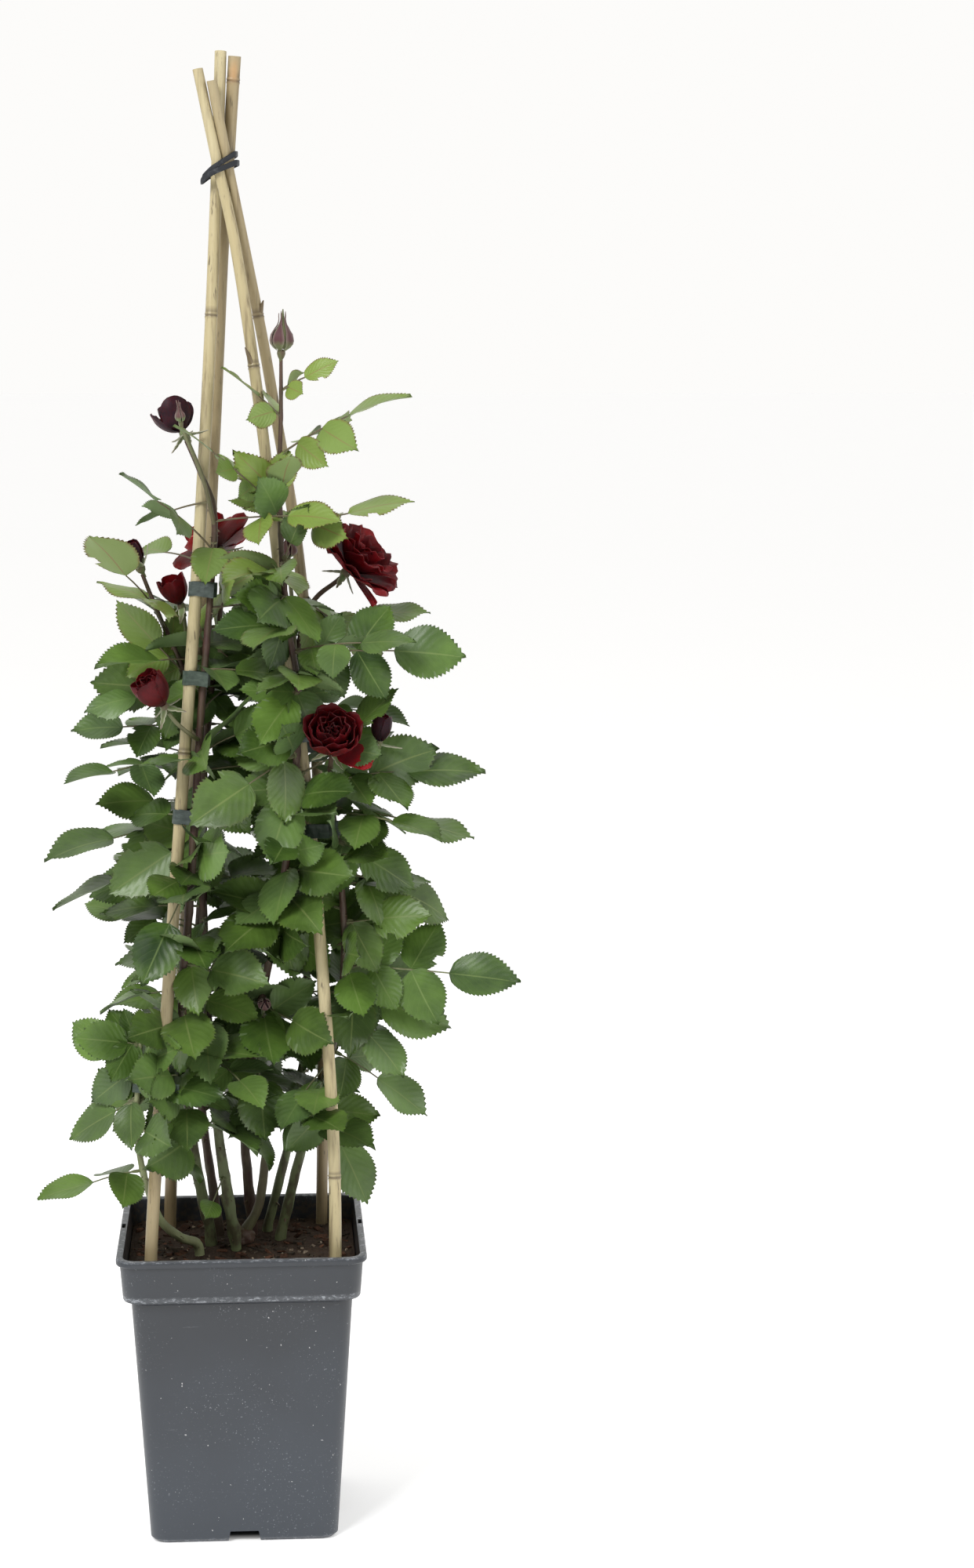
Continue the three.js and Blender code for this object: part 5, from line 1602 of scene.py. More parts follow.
@dataclass
class Bloom:
    """One flower or bud: its hip and sepals and its petals."""

    name: str
    plan: BloomPlan
    number: int
    petals: Sequence[Material]
    bud: Material
    petal_thickness: float = 0.5 * MM
    sepal_thickness: float = 0.6 * MM
    path_steps: int = 24
    body_rings: int = 14
    petal_grid: tuple[int, int] = (8, 10)
    shut_grid: tuple[int, int] = (4, 12)
    sepal_grid: tuple[int, int] = (4, 10)

    def __post_init__(self) -> None:
        """Sets up the flower's own directions."""
        self.at = Vector(self.plan.at)
        self.axis = Vector(self.plan.axis).normalized()
        side = Vector((1, 0, 0)) if abs(self.axis.z) > 0.95 else UP
        self.out = self.axis.cross(side).normalized()
        self.across = self.axis.cross(self.out)
        self.chance = Random(self.number * 31)

    def place(self, radius: float, angle: float, height: float) -> Vector:
        """A place by radius, angle and height over the stalk's end, given in millimetres."""
        return (self.at + self.out * (radius * cos(angle)) + self.across * (radius * sin(angle))
                + self.axis * height) * MM

    def ray(self, angle: float) -> Vector:
        """The way out from the axis at an angle."""
        return self.out * cos(angle) + self.across * sin(angle)

    def turned(self, profile: Sequence[tuple[float, float]], swirl: float, tint: Tint, sides: int = 20) -> None:
        """A body turned round the axis.

        Args:
            profile: Heights and radii in millimetres.
            swirl: Depth of the spiral folds in its skin, as a share of the radius.
            tint: The tint round and along.
            sides: Faces round it.
        """
        mesh = self.piece.mesh
        low, high = profile[0][0], profile[-1][0]

        def place(u: float, w: float) -> Vector:
            """A place on the skin.

            Args:
                u: Share across or round.
                w: Share along.

            Returns:
                The place in metres.
            """
            height = lerp(low, high, w)
            fold = abs((3 * u + 1.1 * w) % 1 - 0.5) * 2
            radius = smooth_through(profile, height) * (1 + swirl * (fold - 0.5))
            return self.place(radius, -tau * u, height)

        faces = self.piece.sheet(sides, self.body_rings, place, tint)
        bmesh.ops.holes_fill(mesh, edges=rims_of(faces), sides=0)
        bmesh.ops.recalc_face_normals(mesh, faces=[f for f in mesh.faces if f.is_valid])

    def petal(self, angle: float, layer: Layer, lit: float, start: tuple[float, float]) -> None:
        """One petal, which rises from the hip and opens out or curls in.

        Args:
            angle: Where round the axis it stands.
            layer: Its lean, length and width.
            lit: How bright it is, its own tone with painted light let through.
            start: Radius and height of its foot.
        """
        steps = self.path_steps
        path = [(start[0], start[1], radians(layer.low))]
        roll = self.chance.uniform(20, 75) if layer.high > -15 else self.chance.uniform(-10, 25)
        for i in range(steps):
            share = (i + 0.5) / steps
            lean = radians(lerp(layer.low, layer.high, share) + roll * smooth(0.8, 1.0, share))
            radius, height, _ = path[-1]
            path.append((max(radius + layer.length / steps * sin(lean), 0.3),
                         height + layer.length / steps * cos(lean), lean))
        ruffle = self.plan.ruffle * self.chance.uniform(0.6, 1.3)
        phase, folds = self.chance.uniform(0, 6), self.chance.uniform(0.8, 1.7)
        notch = self.chance.uniform(0.0, 0.06)
        cap = 1.22 * pi / layer.count
        chance = self.chance.random()

        def place(u: float, w: float) -> Vector:
            """A place on the petal: along its path, wrapped round the axis and ruffled at the rim.

            Args:
                u: Share across or round.
                w: Share along.

            Returns:
                The place in metres.
            """
            t = 2 * u - 1
            s = w * (1 - 0.2 * abs(t) ** 2.6 - notch * bump_at(t, 0.18))
            run = min(s * steps, steps - 1e-6)
            i = int(run)
            (r0, h0, _), (r1, h1, lean) = path[i], path[i + 1]
            radius, height = lerp(r0, r1, run - i), lerp(h0, h1, run - i)
            share = 0.25 + 0.75 * smooth(0, 0.55, w) - 0.1 * smooth(0.75, 1, w)
            wrap = min(layer.width * share / 2 / max(radius, 0.4), cap)
            at = angle - t * wrap
            normal = self.ray(at) * cos(lean) - self.axis * sin(lean)
            wave = ruffle * 1.5 * sin(phase + folds * pi * t * 1.6) * smooth(0.45, 1, w)
            crimp = ruffle * 0.5 * sin(phase * 3 + t * 13) * smooth(0.75, 1, w)
            lift = 0.7 * t * smooth(0.05, 0.4, w) + wave + crimp
            return self.place(radius, at, height) + normal * (lift * MM)

        def tint(u: float, w: float) -> Colour:
            """The tint there: more painted light towards the rim.

            Args:
                u: Share across or round.
                w: Share along.

            Returns:
                The tint.
            """
            t = 2 * u - 1
            glow = lit * (0.35 + 0.65 * smooth(0.2, 0.95, w)) * (1 - 0.25 * t * t)
            return min(glow * (0.75 + 0.5 * chance), 1.0), chance, 0.5 * smooth(0.9, 1, w) * chance

        self.piece.sheet(*self.petal_grid, place, tint, self.petal_thickness)

    def heart(self) -> None:
        """The coiled petals in the middle of an open flower."""
        core_radius, core_height = self.plan.core
        foot = HIP_HEIGHT + 0.4
        profile = [(foot + core_height * share, core_radius * width) for share, width in CORE_PROFILE]
        # Painted shade in the heart: the core and the inner coils get little painted light
        self.turned([*profile, (foot + core_height * 0.93, 0.4)], 0.35, lambda u, w: (0.12 * w, 0.5, 0.0))
        for k in range(self.plan.heart):
            share = (k + 0.5) / self.plan.heart
            start = (lerp(0.8, core_radius * 0.5, share), foot + 0.3)
            width = lerp(core_radius * 1.3, core_radius * 2.3, share)
            layer = Layer(2, lerp(8, 34, share), lerp(-8, -40, share), core_height * lerp(0.98, 1.12, share), width)
            self.petal(k * 2.4 + self.chance.uniform(-0.2, 0.2), layer, self.plan.bright * lerp(0.25, 0.7, share),
                       start)

    def open_petals(self) -> None:
        """The rounds of open petals, where the solid has them."""
        foot = HIP_HEIGHT + 1.5
        draw = Draw(self.number + 301)
        for depth, layer in enumerate(self.plan.layers):
            tier = len(self.plan.layers) - 1 - depth
            start = draw.between(0, tau)
            for i in range(layer.count):
                angle = start + ((i + draw.between(-0.1, 0.1)) / layer.count) * tau
                start_at = (3.4 - tier * 0.7, foot + tier * 0.9)
                self.petal(angle, layer, self.plan.bright * self.chance.uniform(0.55, 1.0), start_at)
                if self.plan.doubled:
                    # The inner petal of each pair gets less painted light, as painted shade
                    inner = replace(layer, high=layer.high - 9, length=layer.length * 0.92, width=layer.width * 0.9)
                    self.petal(angle + pi / layer.count, inner, self.plan.bright * self.chance.uniform(0.4, 0.9),
                               (start_at[0] * 0.8, start_at[1] + 0.5))

    def loose_petals(self) -> None:
        """Single petals that have come away from the rounds."""
        for turn, layer in self.plan.loose:
            # Loose petals take full painted light
            self.petal(radians(turn), layer, 1.0, (2.6, HIP_HEIGHT + 0.4))

    def shut_body(self) -> None:
        """The rolled petals of a bud that is still shut."""
        radius, height = self.plan.shut
        foot = HIP_HEIGHT + 0.3
        profile = [(foot + share * height, width * radius) for share, width in SHUT_PROFILE]
        self.turned(profile, 0.09, lambda u, w: (0.2, 0.4, 0.0))

    def shut_sepals(self) -> None:
        """Five sepals pressed to a shut bud, with tips drawn out past it."""
        radius, height = self.plan.shut
        foot = HIP_HEIGHT - 0.5
        profile = [(foot, self.plan.hip * 0.8)] + [(foot + 0.8 + share * height, width * radius)
                                                    for share, width in SHUT_PROFILE[1:]]
        for k in range(5):
            angle = k / 5 * tau + 0.3
            reach = height * self.chance.uniform(0.86, 1.0) * self.plan.drawn_out
            twist = self.chance.uniform(-0.5, 0.5)

            def place(u: float, w: float) -> Vector:
                """A place on the sepal, just off the bud.

                Args:
                    u: Share across or round.
                    w: Share along.

                Returns:
                    The place in metres.
                """
                t = 2 * u - 1
                body = smooth_through(profile, foot + w * reach)
                half = 0.72 * (1 - w) ** 0.75 * (0.55 + 0.45 * smooth(0, 0.3, w)) + 0.02
                lift = 0.45 + 0.25 * (k % 2) + 1.2 * smooth(0.75, 1, w) * self.plan.shut[0] / 8
                return self.place(body + lift, angle + t * half + twist * w ** 3, foot + w * reach)

            self.piece.sheet(*self.shut_grid, place, lambda u, w: (
                smooth(0.0, 0.35, w), 0.2, 0.25 * abs(2 * u - 1) ** 4), -self.sepal_thickness)

    def hip(self) -> None:
        """The swelling under the flower."""
        hip = self.plan.hip
        profile = [(-5, 1.2), (-1.5, 1.45), (1, hip * 0.82), (3.25, hip), (5.4, hip * 0.93), (HIP_HEIGHT, hip * 0.8)]
        self.turned(profile, 0.0, lambda u, w: (0.25 + 0.3 * w, 0.2, 0.0), sides=12)

    def open_sepals(self) -> None:
        """The folded-back sepals of an open flower."""
        lean = radians(self.plan.sepal_open)
        seat = HIP_HEIGHT * 0.7
        for k in range(self.plan.sepals):
            angle = k / self.plan.sepals * tau + 0.4
            heading = self.ray(angle) * sin(lean) + self.axis * cos(lean)
            normal = self.ray(angle) * cos(lean) - self.axis * sin(lean)
            side = normal.cross(heading)
            start = self.place(self.plan.hip * 0.4, angle, seat)
            bow, skew = self.chance.uniform(-3.5, 1.0), self.chance.uniform(-3, 3)

            def place(u: float, w: float) -> Vector:
                """A place on the sepal, with its lobes and its bow.

                Args:
                    u: Share across or round.
                    w: Share along.

                Returns:
                    The place in metres.
                """
                t = 2 * u - 1
                half = SEPAL_WIDTH / 2 * (smooth(-0.25, 0.3, w) * (1 - w) ** 0.7 * 1.35 + 0.03)
                lobe = 1 + 0.25 * sin(w * 22) * smooth(0.3, 0.5, w)
                off = side * (t * half * lobe + skew * w * w) + normal * (0.25 * abs(t) * half + bow * w * w)
                return start + (heading * (w * SEPAL_LENGTH) + off) * MM

            self.piece.sheet(*self.sepal_grid, place, lambda u, w: (
                0.1 + 0.5 * w, 0.4 * abs(2 * u - 1), 0.8 * abs(2 * u - 1) ** 4), self.sepal_thickness)

    def build_cup(self) -> Object:
        """Builds the hip and sepals.

        Returns:
            The hip and sepals.
        """
        self.piece = Piece(f"sepals_{self.name}")
        self.hip()
        if self.plan.shut:
            self.shut_sepals()
        else:
            self.open_sepals()
        return self.piece.finish(Slot.BUD, f"shoot_{self.plan.on}", [self.bud])

    def build(self) -> Object:
        """Builds the petals.

        Returns:
            The petals.
        """
        self.piece = Piece(f"petals_{self.name}")
        if self.plan.shut:
            self.shut_body()
        else:
            self.heart()
            self.open_petals()
            self.loose_petals()
        slot = Slot.BUD if self.plan.shut else Slot.PETAL
        return self.piece.finish(slot, f"bloom_{self.name}", self.petals, sharp=80)


@dataclass
class Cane:
    """A bamboo cane with its joints and its sawn, hollow top."""

    name: str
    line: CaneLine
    bamboo: Material
    sides: int = 18
    rings: int = 110
    wall: float = 1.3 * MM
    hollow: float = 14 * MM
    joint_steps: tuple[float, ...] = (-4.5, -2.6, -1.7, -1.0, -0.4, 0.4, 1.0, 1.8, 3.2)
    aged: tuple[float, float] = (0.75, 0.0)
    marks: CaneMarks = CaneMarks()
    curve: Curve = field(init=False)

    def __post_init__(self) -> None:
        """Runs the line through its points."""
        self.curve = Curve(self.line.points)

    def stations(self) -> list[float]:
        """Shares of the line where rings stand, closer together at the joints.

        Returns:
            The shares in order.
        """
        low, high = self.line.points[0][2], self.line.points[-1][2]
        heights = [lerp(low, high, share) for share in even(self.rings)]
        for knot in self.line.knots:
            heights += [knot + step for step in self.joint_steps if knot + step < high - 0.5]
        return [0.0] + [self.curve.share_at(h) for h in sorted(heights)[1:-1]] + [1.0]

    def over_joint(self, height: float) -> float:
        """How far a height stands over the nearest joint, in millimetres."""
        return min((height - knot for knot in self.line.knots), key=abs)

    def build(self) -> Object:
        """Builds the cane as one piece.

        Returns:
            The cane.
        """
        piece = Piece(f"bamboo_{self.name}")

        def radius(u: float, w: float) -> float:
            """The cane's thickness, with a groove between two ridges at each joint.

            Args:
                u: Share across or round.
                w: Share along.

            Returns:
                The radius in metres.
            """
            height = self.curve.at(w).z
            over = self.over_joint(height / MM)
            ridge = 0.5 * bump_at(over - 0.9, 0.9) + 0.4 * bump_at(over + 1.2, 1.1)
            rough = 0.12 * noise.noise(spoke(tau * u) * 1.4 + UP * (height * 20))
            return (lerp(*self.line.radius, w) + ridge - 0.45 * bump_at(over, 0.5) + rough) * MM

        def tint(u: float, w: float) -> Colour:
            """The joint's ring, the age by height and the chip in the front of the skin.

            Args:
                u: Share across or round.
                w: Share along.

            Returns:
                The tint.
            """
            height = self.curve.at(w).z / MM
            over = self.over_joint(height)
            ring = max(bump_at(over, 1.3), 0.7 * bump_at(over - 3.4, 1.6))
            chip = bump_at(height - self.marks.chip, 6) * bump_at(sin(tau * u) + 1, 0.25)
            return ring, lerp(*self.aged, smooth(250, 760, height)), chip

        caps = piece.tube(self.curve, self.stations(), radius, self.sides, tint)
        if self.marks.stub:
            height, lean = self.marks.stub
            root = self.curve.at(self.curve.share_at(height))
            end = root + Vector(lean) * MM
            piece.tube(Bezier(root, (root + end) / 2, end), [0, 0.4, 0.75, 1],
                       lambda u, w: 3.4 * MM * max(1 - w, 0.06) ** 0.7, 8, lambda u, w: (0.3 + 0.5 * w, 1.0, 0.0))
        top = highest(caps)
        bmesh.ops.inset_individual(piece.mesh, faces=[top], thickness=self.wall)
        piece.paint({face for edge in top.edges for face in edge.link_faces}, (0, 0, 0.8))
        piece.paint([top], (0, 0, 0.2))
        bmesh.ops.inset_individual(piece.mesh, faces=[top], thickness=0.2 * MM, depth=-self.hollow)
        # Painted shade: the floor of the hollow takes the dark joint and age colours
        piece.paint([top], (1, 1, 0))
        return piece.finish(Slot.BAMBOO, f"cane_{self.name}", [self.bamboo], sharp=40)


@dataclass
class CaneBand:
    """The flat rubber band in two turns round the four canes, with a slack bight."""

    rubber: Material
    height: float = 1104
    width: float = 4.5
    thickness: float = 2.0
    gap: float = 1.0
    slack: float = 4.5
    turns: tuple[Spot, ...] = ((0, 4.5, 33), (1.2, -2, 24))
    sides: int = 12
    steps: int = 72

    def middle(self, angle: float, offset: float, lift: float, tilt: float) -> tuple[Vector, Vector]:
        """The band's middle and its outward direction at an angle round the canes.

        Args:
            angle: The angle.
            offset: How far the turn stands off, in millimetres.
            lift: How far it stands above the other.
            tilt: Its tilt in degrees.

        Returns:
            The middle in millimetres, and the way out.
        """
        normal = spoke(angle)
        rounds = []
        for line in CANES.values():
            curve = Curve(line.points)
            share = curve.share_at(self.height)
            rounds.append((curve.at(share) / MM, lerp(*line.radius, share)))
        best, radius = max(rounds, key=lambda cane: cane[0].dot(normal) + cane[1])
        slack = self.slack * max(0.0, -cos(angle)) ** 6
        centre = Vector((best.x, best.y, self.height + lift))
        middle = centre + normal * (radius + self.gap + offset + slack + self.thickness / 2)
        middle.z += middle.x * tan(radians(tilt)) - slack * 0.5
        return middle, normal

    def build(self) -> Object:
        """Builds both turns as one piece.

        Returns:
            The band.
        """
        piece = Piece("rubber_band")
        for offset, lift, tilt in self.turns:
            stops = [self.middle(i / self.steps * tau, offset, lift, tilt) for i in range(self.steps)]

            def place(u: float, w: float) -> Vector:
                """A place on the band's rounded section.

                Args:
                    u: Share across or round.
                    w: Share along.

                Returns:
                    The place in metres.
                """
                middle, normal = stops[round(w * self.steps) % self.steps]
                corner = tau * u
                across = max(min(1.5 * cos(corner), 1), -1) * self.thickness / 2 * 0.92
                up = max(min(1.3 * sin(corner), 1), -1) * self.width / 2 * 0.97
                return (middle - normal * across + UP * up) * MM

            piece.sheet(self.sides, self.steps, place, untinted)
        return piece.finish(Slot.BAND, "cane_band", [self.rubber], sharp=60)


@dataclass
class TapeTie:
    """A strip of tape looped round a cane and a stem, with a free end."""

    name: str
    cane: str
    shoot: str
    height: float
    tape: Material
    width: float = 11.5
    thickness: float = 0.55
    clearance: float = 0.7
    flap: float = 13.0
    loop_grid: tuple[int, int] = (44, 5)
    flap_grid: tuple[int, int] = (8, 4)

    def build(self) -> Object:
        """Builds the loop and its free end as one piece.

        Returns:
            The tie.
        """
        cane, shoot = Curve(CANES[self.cane].points), Curve(SHOOTS[self.shoot].points)
        share = cane.share_at(self.height)
        centre, upright = cane.at(share) / MM, cane.along(share)
        turn = UP.rotation_difference(upright)
        shoot_share = shoot.share_at(self.height)
        local = turn.inverted() @ (shoot.at(shoot_share) / MM - centre)
        circles = ((Vector((0, 0)), lerp(*CANES[self.cane].radius, share)),
                   (Vector((local.x, local.y)), lerp(*SHOOTS[self.shoot].radius, shoot_share) + 1.1))
        chance = Random(int(self.height))
        phase = chance.uniform(0, 6)

        def hull(angle: float, grow: float) -> Vector:
            """A place off the cane and the stem, in the tie's own plane.

            Args:
                angle: The way off the middle.
                grow: How far off, in millimetres.

            Returns:
                The place in millimetres.
            """
            normal = Vector((cos(angle), sin(angle)))
            spot, radius = max(circles, key=lambda circle: circle[0].dot(normal) + circle[1])
            return spot + normal * (radius + grow)

        def world(flat: Vector, up: float) -> Vector:
            """A place of the tie's own plane in metres."""
            return (centre + turn @ Vector((flat.x, flat.y, up))) * MM

        def loop_place(u: float, w: float) -> Vector:
            """A place on the creased loop.

            Args:
                u: Share round the loop.
                w: Share across the tape.

            Returns:
                The place in metres.
            """
            angle = tau * u
            crease = 0.22 * sin(5 * angle + phase) * sin(pi * w + 0.6)
            droop = 0.5 * sin(angle + phase)
            return world(hull(angle, self.clearance + self.thickness + crease), (w - 0.5) * self.width + droop)

        piece = Piece(f"tape_{self.name}")
        piece.sheet(*self.loop_grid, loop_place, untinted, self.thickness * MM)
        front = atan2(*(turn.inverted() @ Vector((0.25, -1, 0))).yx)
        start = hull(front, self.clearance + self.thickness + 0.7)
        away = turn.inverted() @ Vector((1, -0.12, 0.05))
        away = Vector((away.x, away.y)).normalized()
        out = Vector((away.y, -away.x))
        curl = chance.uniform(1.0, 3.5)

        def flap_place(u: float, w: float) -> Vector:
            """A place on the curled free end.

            Args:
                u: Share along the end.
                w: Share across the tape.

            Returns:
                The place in metres.
            """
            run = u * (self.flap + 3) - 3
            bend = curl * smooth(0, self.flap, run) ** 2 + 0.3 * sin(run + 4 * w)
            return world(start + away * run + out * bend, (w - 0.5) * self.width * 0.97 - 0.08 * run)

        piece.sheet(*self.flap_grid, flap_place, untinted, self.thickness * MM)
        return piece.finish(Slot.TAPE, self.name, [self.tape], sharp=60)


@dataclass
class Crown:
    """The knobbly graft at soil level with two sawn-off stubs."""

    wood: Material
    centre: Spot = (0, 30, 224)
    radius: float = 11
    flatten: float = 0.8
    stubs: tuple[Stem, ...] = (
        Stem(((0, 30, 226), (14, 31, 252), (21, 35, 300)), (4.2, 3.6)),
        Stem(((-2, 28, 226), (-10, 22, 246), (-15, 18, 264)), (4.0, 3.2)),
    )

    def build(self) -> Object:
        """Builds the graft as one piece.

        Returns:
            The graft.
        """
        piece = Piece("graft")
        knob = bmesh.ops.create_icosphere(piece.mesh, subdivisions=4, radius=self.radius * MM)["verts"]
        for vert in knob:
            rough = 1 + 0.2 * noise.fractal(vert.co * 160, 1.0, 2.0, 4)
            vert.co = Vector((vert.co.x, vert.co.y, vert.co.z * self.flatten)) * rough + Vector(self.centre) * MM
        faces = {face for vert in knob for face in vert.link_faces}
        for face in faces:
            face.smooth = True
        piece.paint(faces, (0.9, 0.6, 0))
        for stub in self.stubs:
            curve = Curve(stub.points)

            def radius(u: float, w: float) -> float:
                """The stub's thickness, flared at its foot.

                Args:
                    u: Share across or round.
                    w: Share along.

                Returns:
                    The radius in metres.
                """
                spot = curve.at(w) + spoke(tau * u) * 4 * MM
                flare = 1.6 * exp(-w / 0.12)
                return (lerp(*stub.radius, w) * (1 + 0.12 * noise.noise(spot * 150)) + flare) * MM

            top = highest(piece.tube(curve, even(14), radius, 12, lambda u, w: (0.55, 0.3, 0.1)))
            bmesh.ops.inset_individual(piece.mesh, faces=[top], thickness=0.7 * MM, depth=-0.3 * MM)
            piece.paint([top], (0, 0.4, 1))
        return piece.finish(Slot.WOOD, "rose_crown", [self.wood])


@dataclass
class Pot:
    """The square moulded pot: tapering body, collar and rolled rim."""

    plastic: Material
    profile: tuple[Spot, ...] = (
        (0, 0, 0.6), (60, 9, 0.6), (71, 11, 0.6), (73, 12, 0), (76, 14, 3), (88.5, 14, 203), (90, 14.4, 204.4),
        (94.2, 15.6, 205.8), (95, 16, 207.5), (97, 16, 235.2), (97.8, 16, 236.1), (99.4, 16, 236.4), (100, 16, 237.4),
        (100, 16, 240.6), (99.2, 15.4, 242), (96, 13.4, 242), (94.6, 13.4, 241.2), (94.4, 13.4, 234),
        (92.4, 13.4, 211), (91.6, 13, 208.4), (86.4, 11.8, 207), (85.9, 11.4, 205), (74.2, 11.4, 14.5),
        (72.8, 10.4, 13), (0, 0, 13),
    )
    side_steps: int = 8
    corner_steps: int = 8
    channel: tuple[float, ...] = (27, 23, 9, 42)
    channel_reach: float = 79
    drain: tuple[float, float] = (5, 55)
    long_runs: tuple[tuple[float, int], ...] = ((60, 6), (20, 3), (0, 1))
    slot_size: Spot = (3, 12, 3)
    slot_at: tuple[float, float] = (97.3, 8)

    def outline(self, share: float, half: float, corner: float) -> Vector:
        """A place round a square with round corners.

        Args:
            share: Share of the way round.
            half: Half the square's width.
            corner: Radius of its corners.

        Returns:
            The place, with z left at 0.
        """
        quarter = self.side_steps + self.corner_steps
        step = round(share * 4 * quarter)
        side, at = divmod(step, quarter)
        straight = half - corner
        if at <= self.side_steps:
            flat = Vector((half, lerp(-straight, straight, at / self.side_steps), 0))
        else:
            angle = (at - self.side_steps) / self.corner_steps * pi / 2
            flat = Vector((straight, straight, 0)) + spoke(angle) * corner
        return Quaternion(UP, side * pi / 2) @ flat

    def stops(self) -> list[Spot]:
        """Adds rings to the long runs of the wall's profile.

        Returns:
            Half widths, corner radii and heights.
        """
        made = [self.profile[0]]
        for last, stop in zip(self.profile, self.profile[1:]):
            rise = abs(stop[2] - last[2])
            count = next(count for least, count in self.long_runs if rise > least or not least)
            made += [tuple(lerp(a, b, i / count) for a, b in zip(last, stop)) for i in range(1, count + 1)]
        return made

    def shell(self) -> Object:
        """Builds the moulded wall before its openings are cut.

        Returns:
            The wall.
        """
        piece = Piece("pot_shell")
        stops = self.stops()
        rings = len(stops) - 1
        mouth = next(i for i, stop in enumerate(stops) if stop[2] == POT_HEIGHT)

        def place(u: float, w: float) -> Vector:
            """A place on the wall.

            Args:
                u: Share across or round.
                w: Share along.

            Returns:
                The place in metres.
            """
            half, corner, height = stops[round(w * rings)]
            flat = self.outline(u, half, corner)
            return Vector((flat.x, flat.y, height)) * MM

        def tint(u: float, w: float) -> Colour:
            """The tint there: past the rim it is the inside."""
            inside = 1.0 if round(w * rings) > mouth + 2 else 0.0
            return 0.0, inside, 0.6 * inside

        piece.sheet(4 * (self.side_steps + self.corner_steps), rings, place, tint)
        bmesh.ops.recalc_face_normals(piece.mesh, faces=piece.mesh.faces[:])
        return piece.finish(Slot.POT, "pot", [self.plastic], sharp=35)

    def cutters(self) -> Object:
        """Builds the shapes of the foot channels, drains and rim slots.

        Returns:
            The object to be cut away.
        """
        mesh = bmesh.new()
        wide, narrow, high, long = self.channel
        for side in range(4):
            turn = Quaternion(UP, side * pi / 2)
            block = bmesh.ops.create_cube(mesh, size=1)["verts"]
            for vert in block:
                width = wide if vert.co.z < 0 else narrow
                vert.co = turn @ Vector((self.channel_reach - long / 2 + vert.co.x * long, vert.co.y * width,
                                         high if vert.co.z > 0 else -3)) * MM
            drain = bmesh.ops.create_cone(mesh, cap_ends=True, segments=20, radius1=self.drain[0] * MM,
                                          radius2=self.drain[0] * MM, depth=30 * MM)["verts"]
            for vert in drain:
                vert.co += turn @ Vector((self.drain[1] * MM, 0, 10 * MM))
        thick, length, deep = self.slot_size
        for hand in (1, -1):
            slot = bmesh.ops.create_cube(mesh, size=1)["verts"]
            for vert in slot:
                vert.co = Vector((hand * self.slot_at[0] + vert.co.x * thick, self.slot_at[1] + vert.co.y * length,
                                  POT_HEIGHT + vert.co.z * 2 * deep)) * MM
        return new_object("pot_cuts", new_mesh("pot_cuts", mesh))

    def build(self) -> Object:
        """Builds the pot and cuts its openings.

        Returns:
            The pot.
        """
        shell, cuts = self.shell(), self.cutters()
        cut = shell.modifiers.new("openings", "BOOLEAN")
        cut.object, cut.operation, cut.solver, cut.use_self = cuts, "DIFFERENCE", "EXACT", True
        bpy.context.view_layer.update()
        made = bpy.data.meshes.new_from_object(shell.evaluated_get(bpy.context.evaluated_depsgraph_get()))
        shell.modifiers.clear()
        shell.data = made
        made.name = "pot_shell"
        bpy.data.objects.remove(cuts)
        return shell


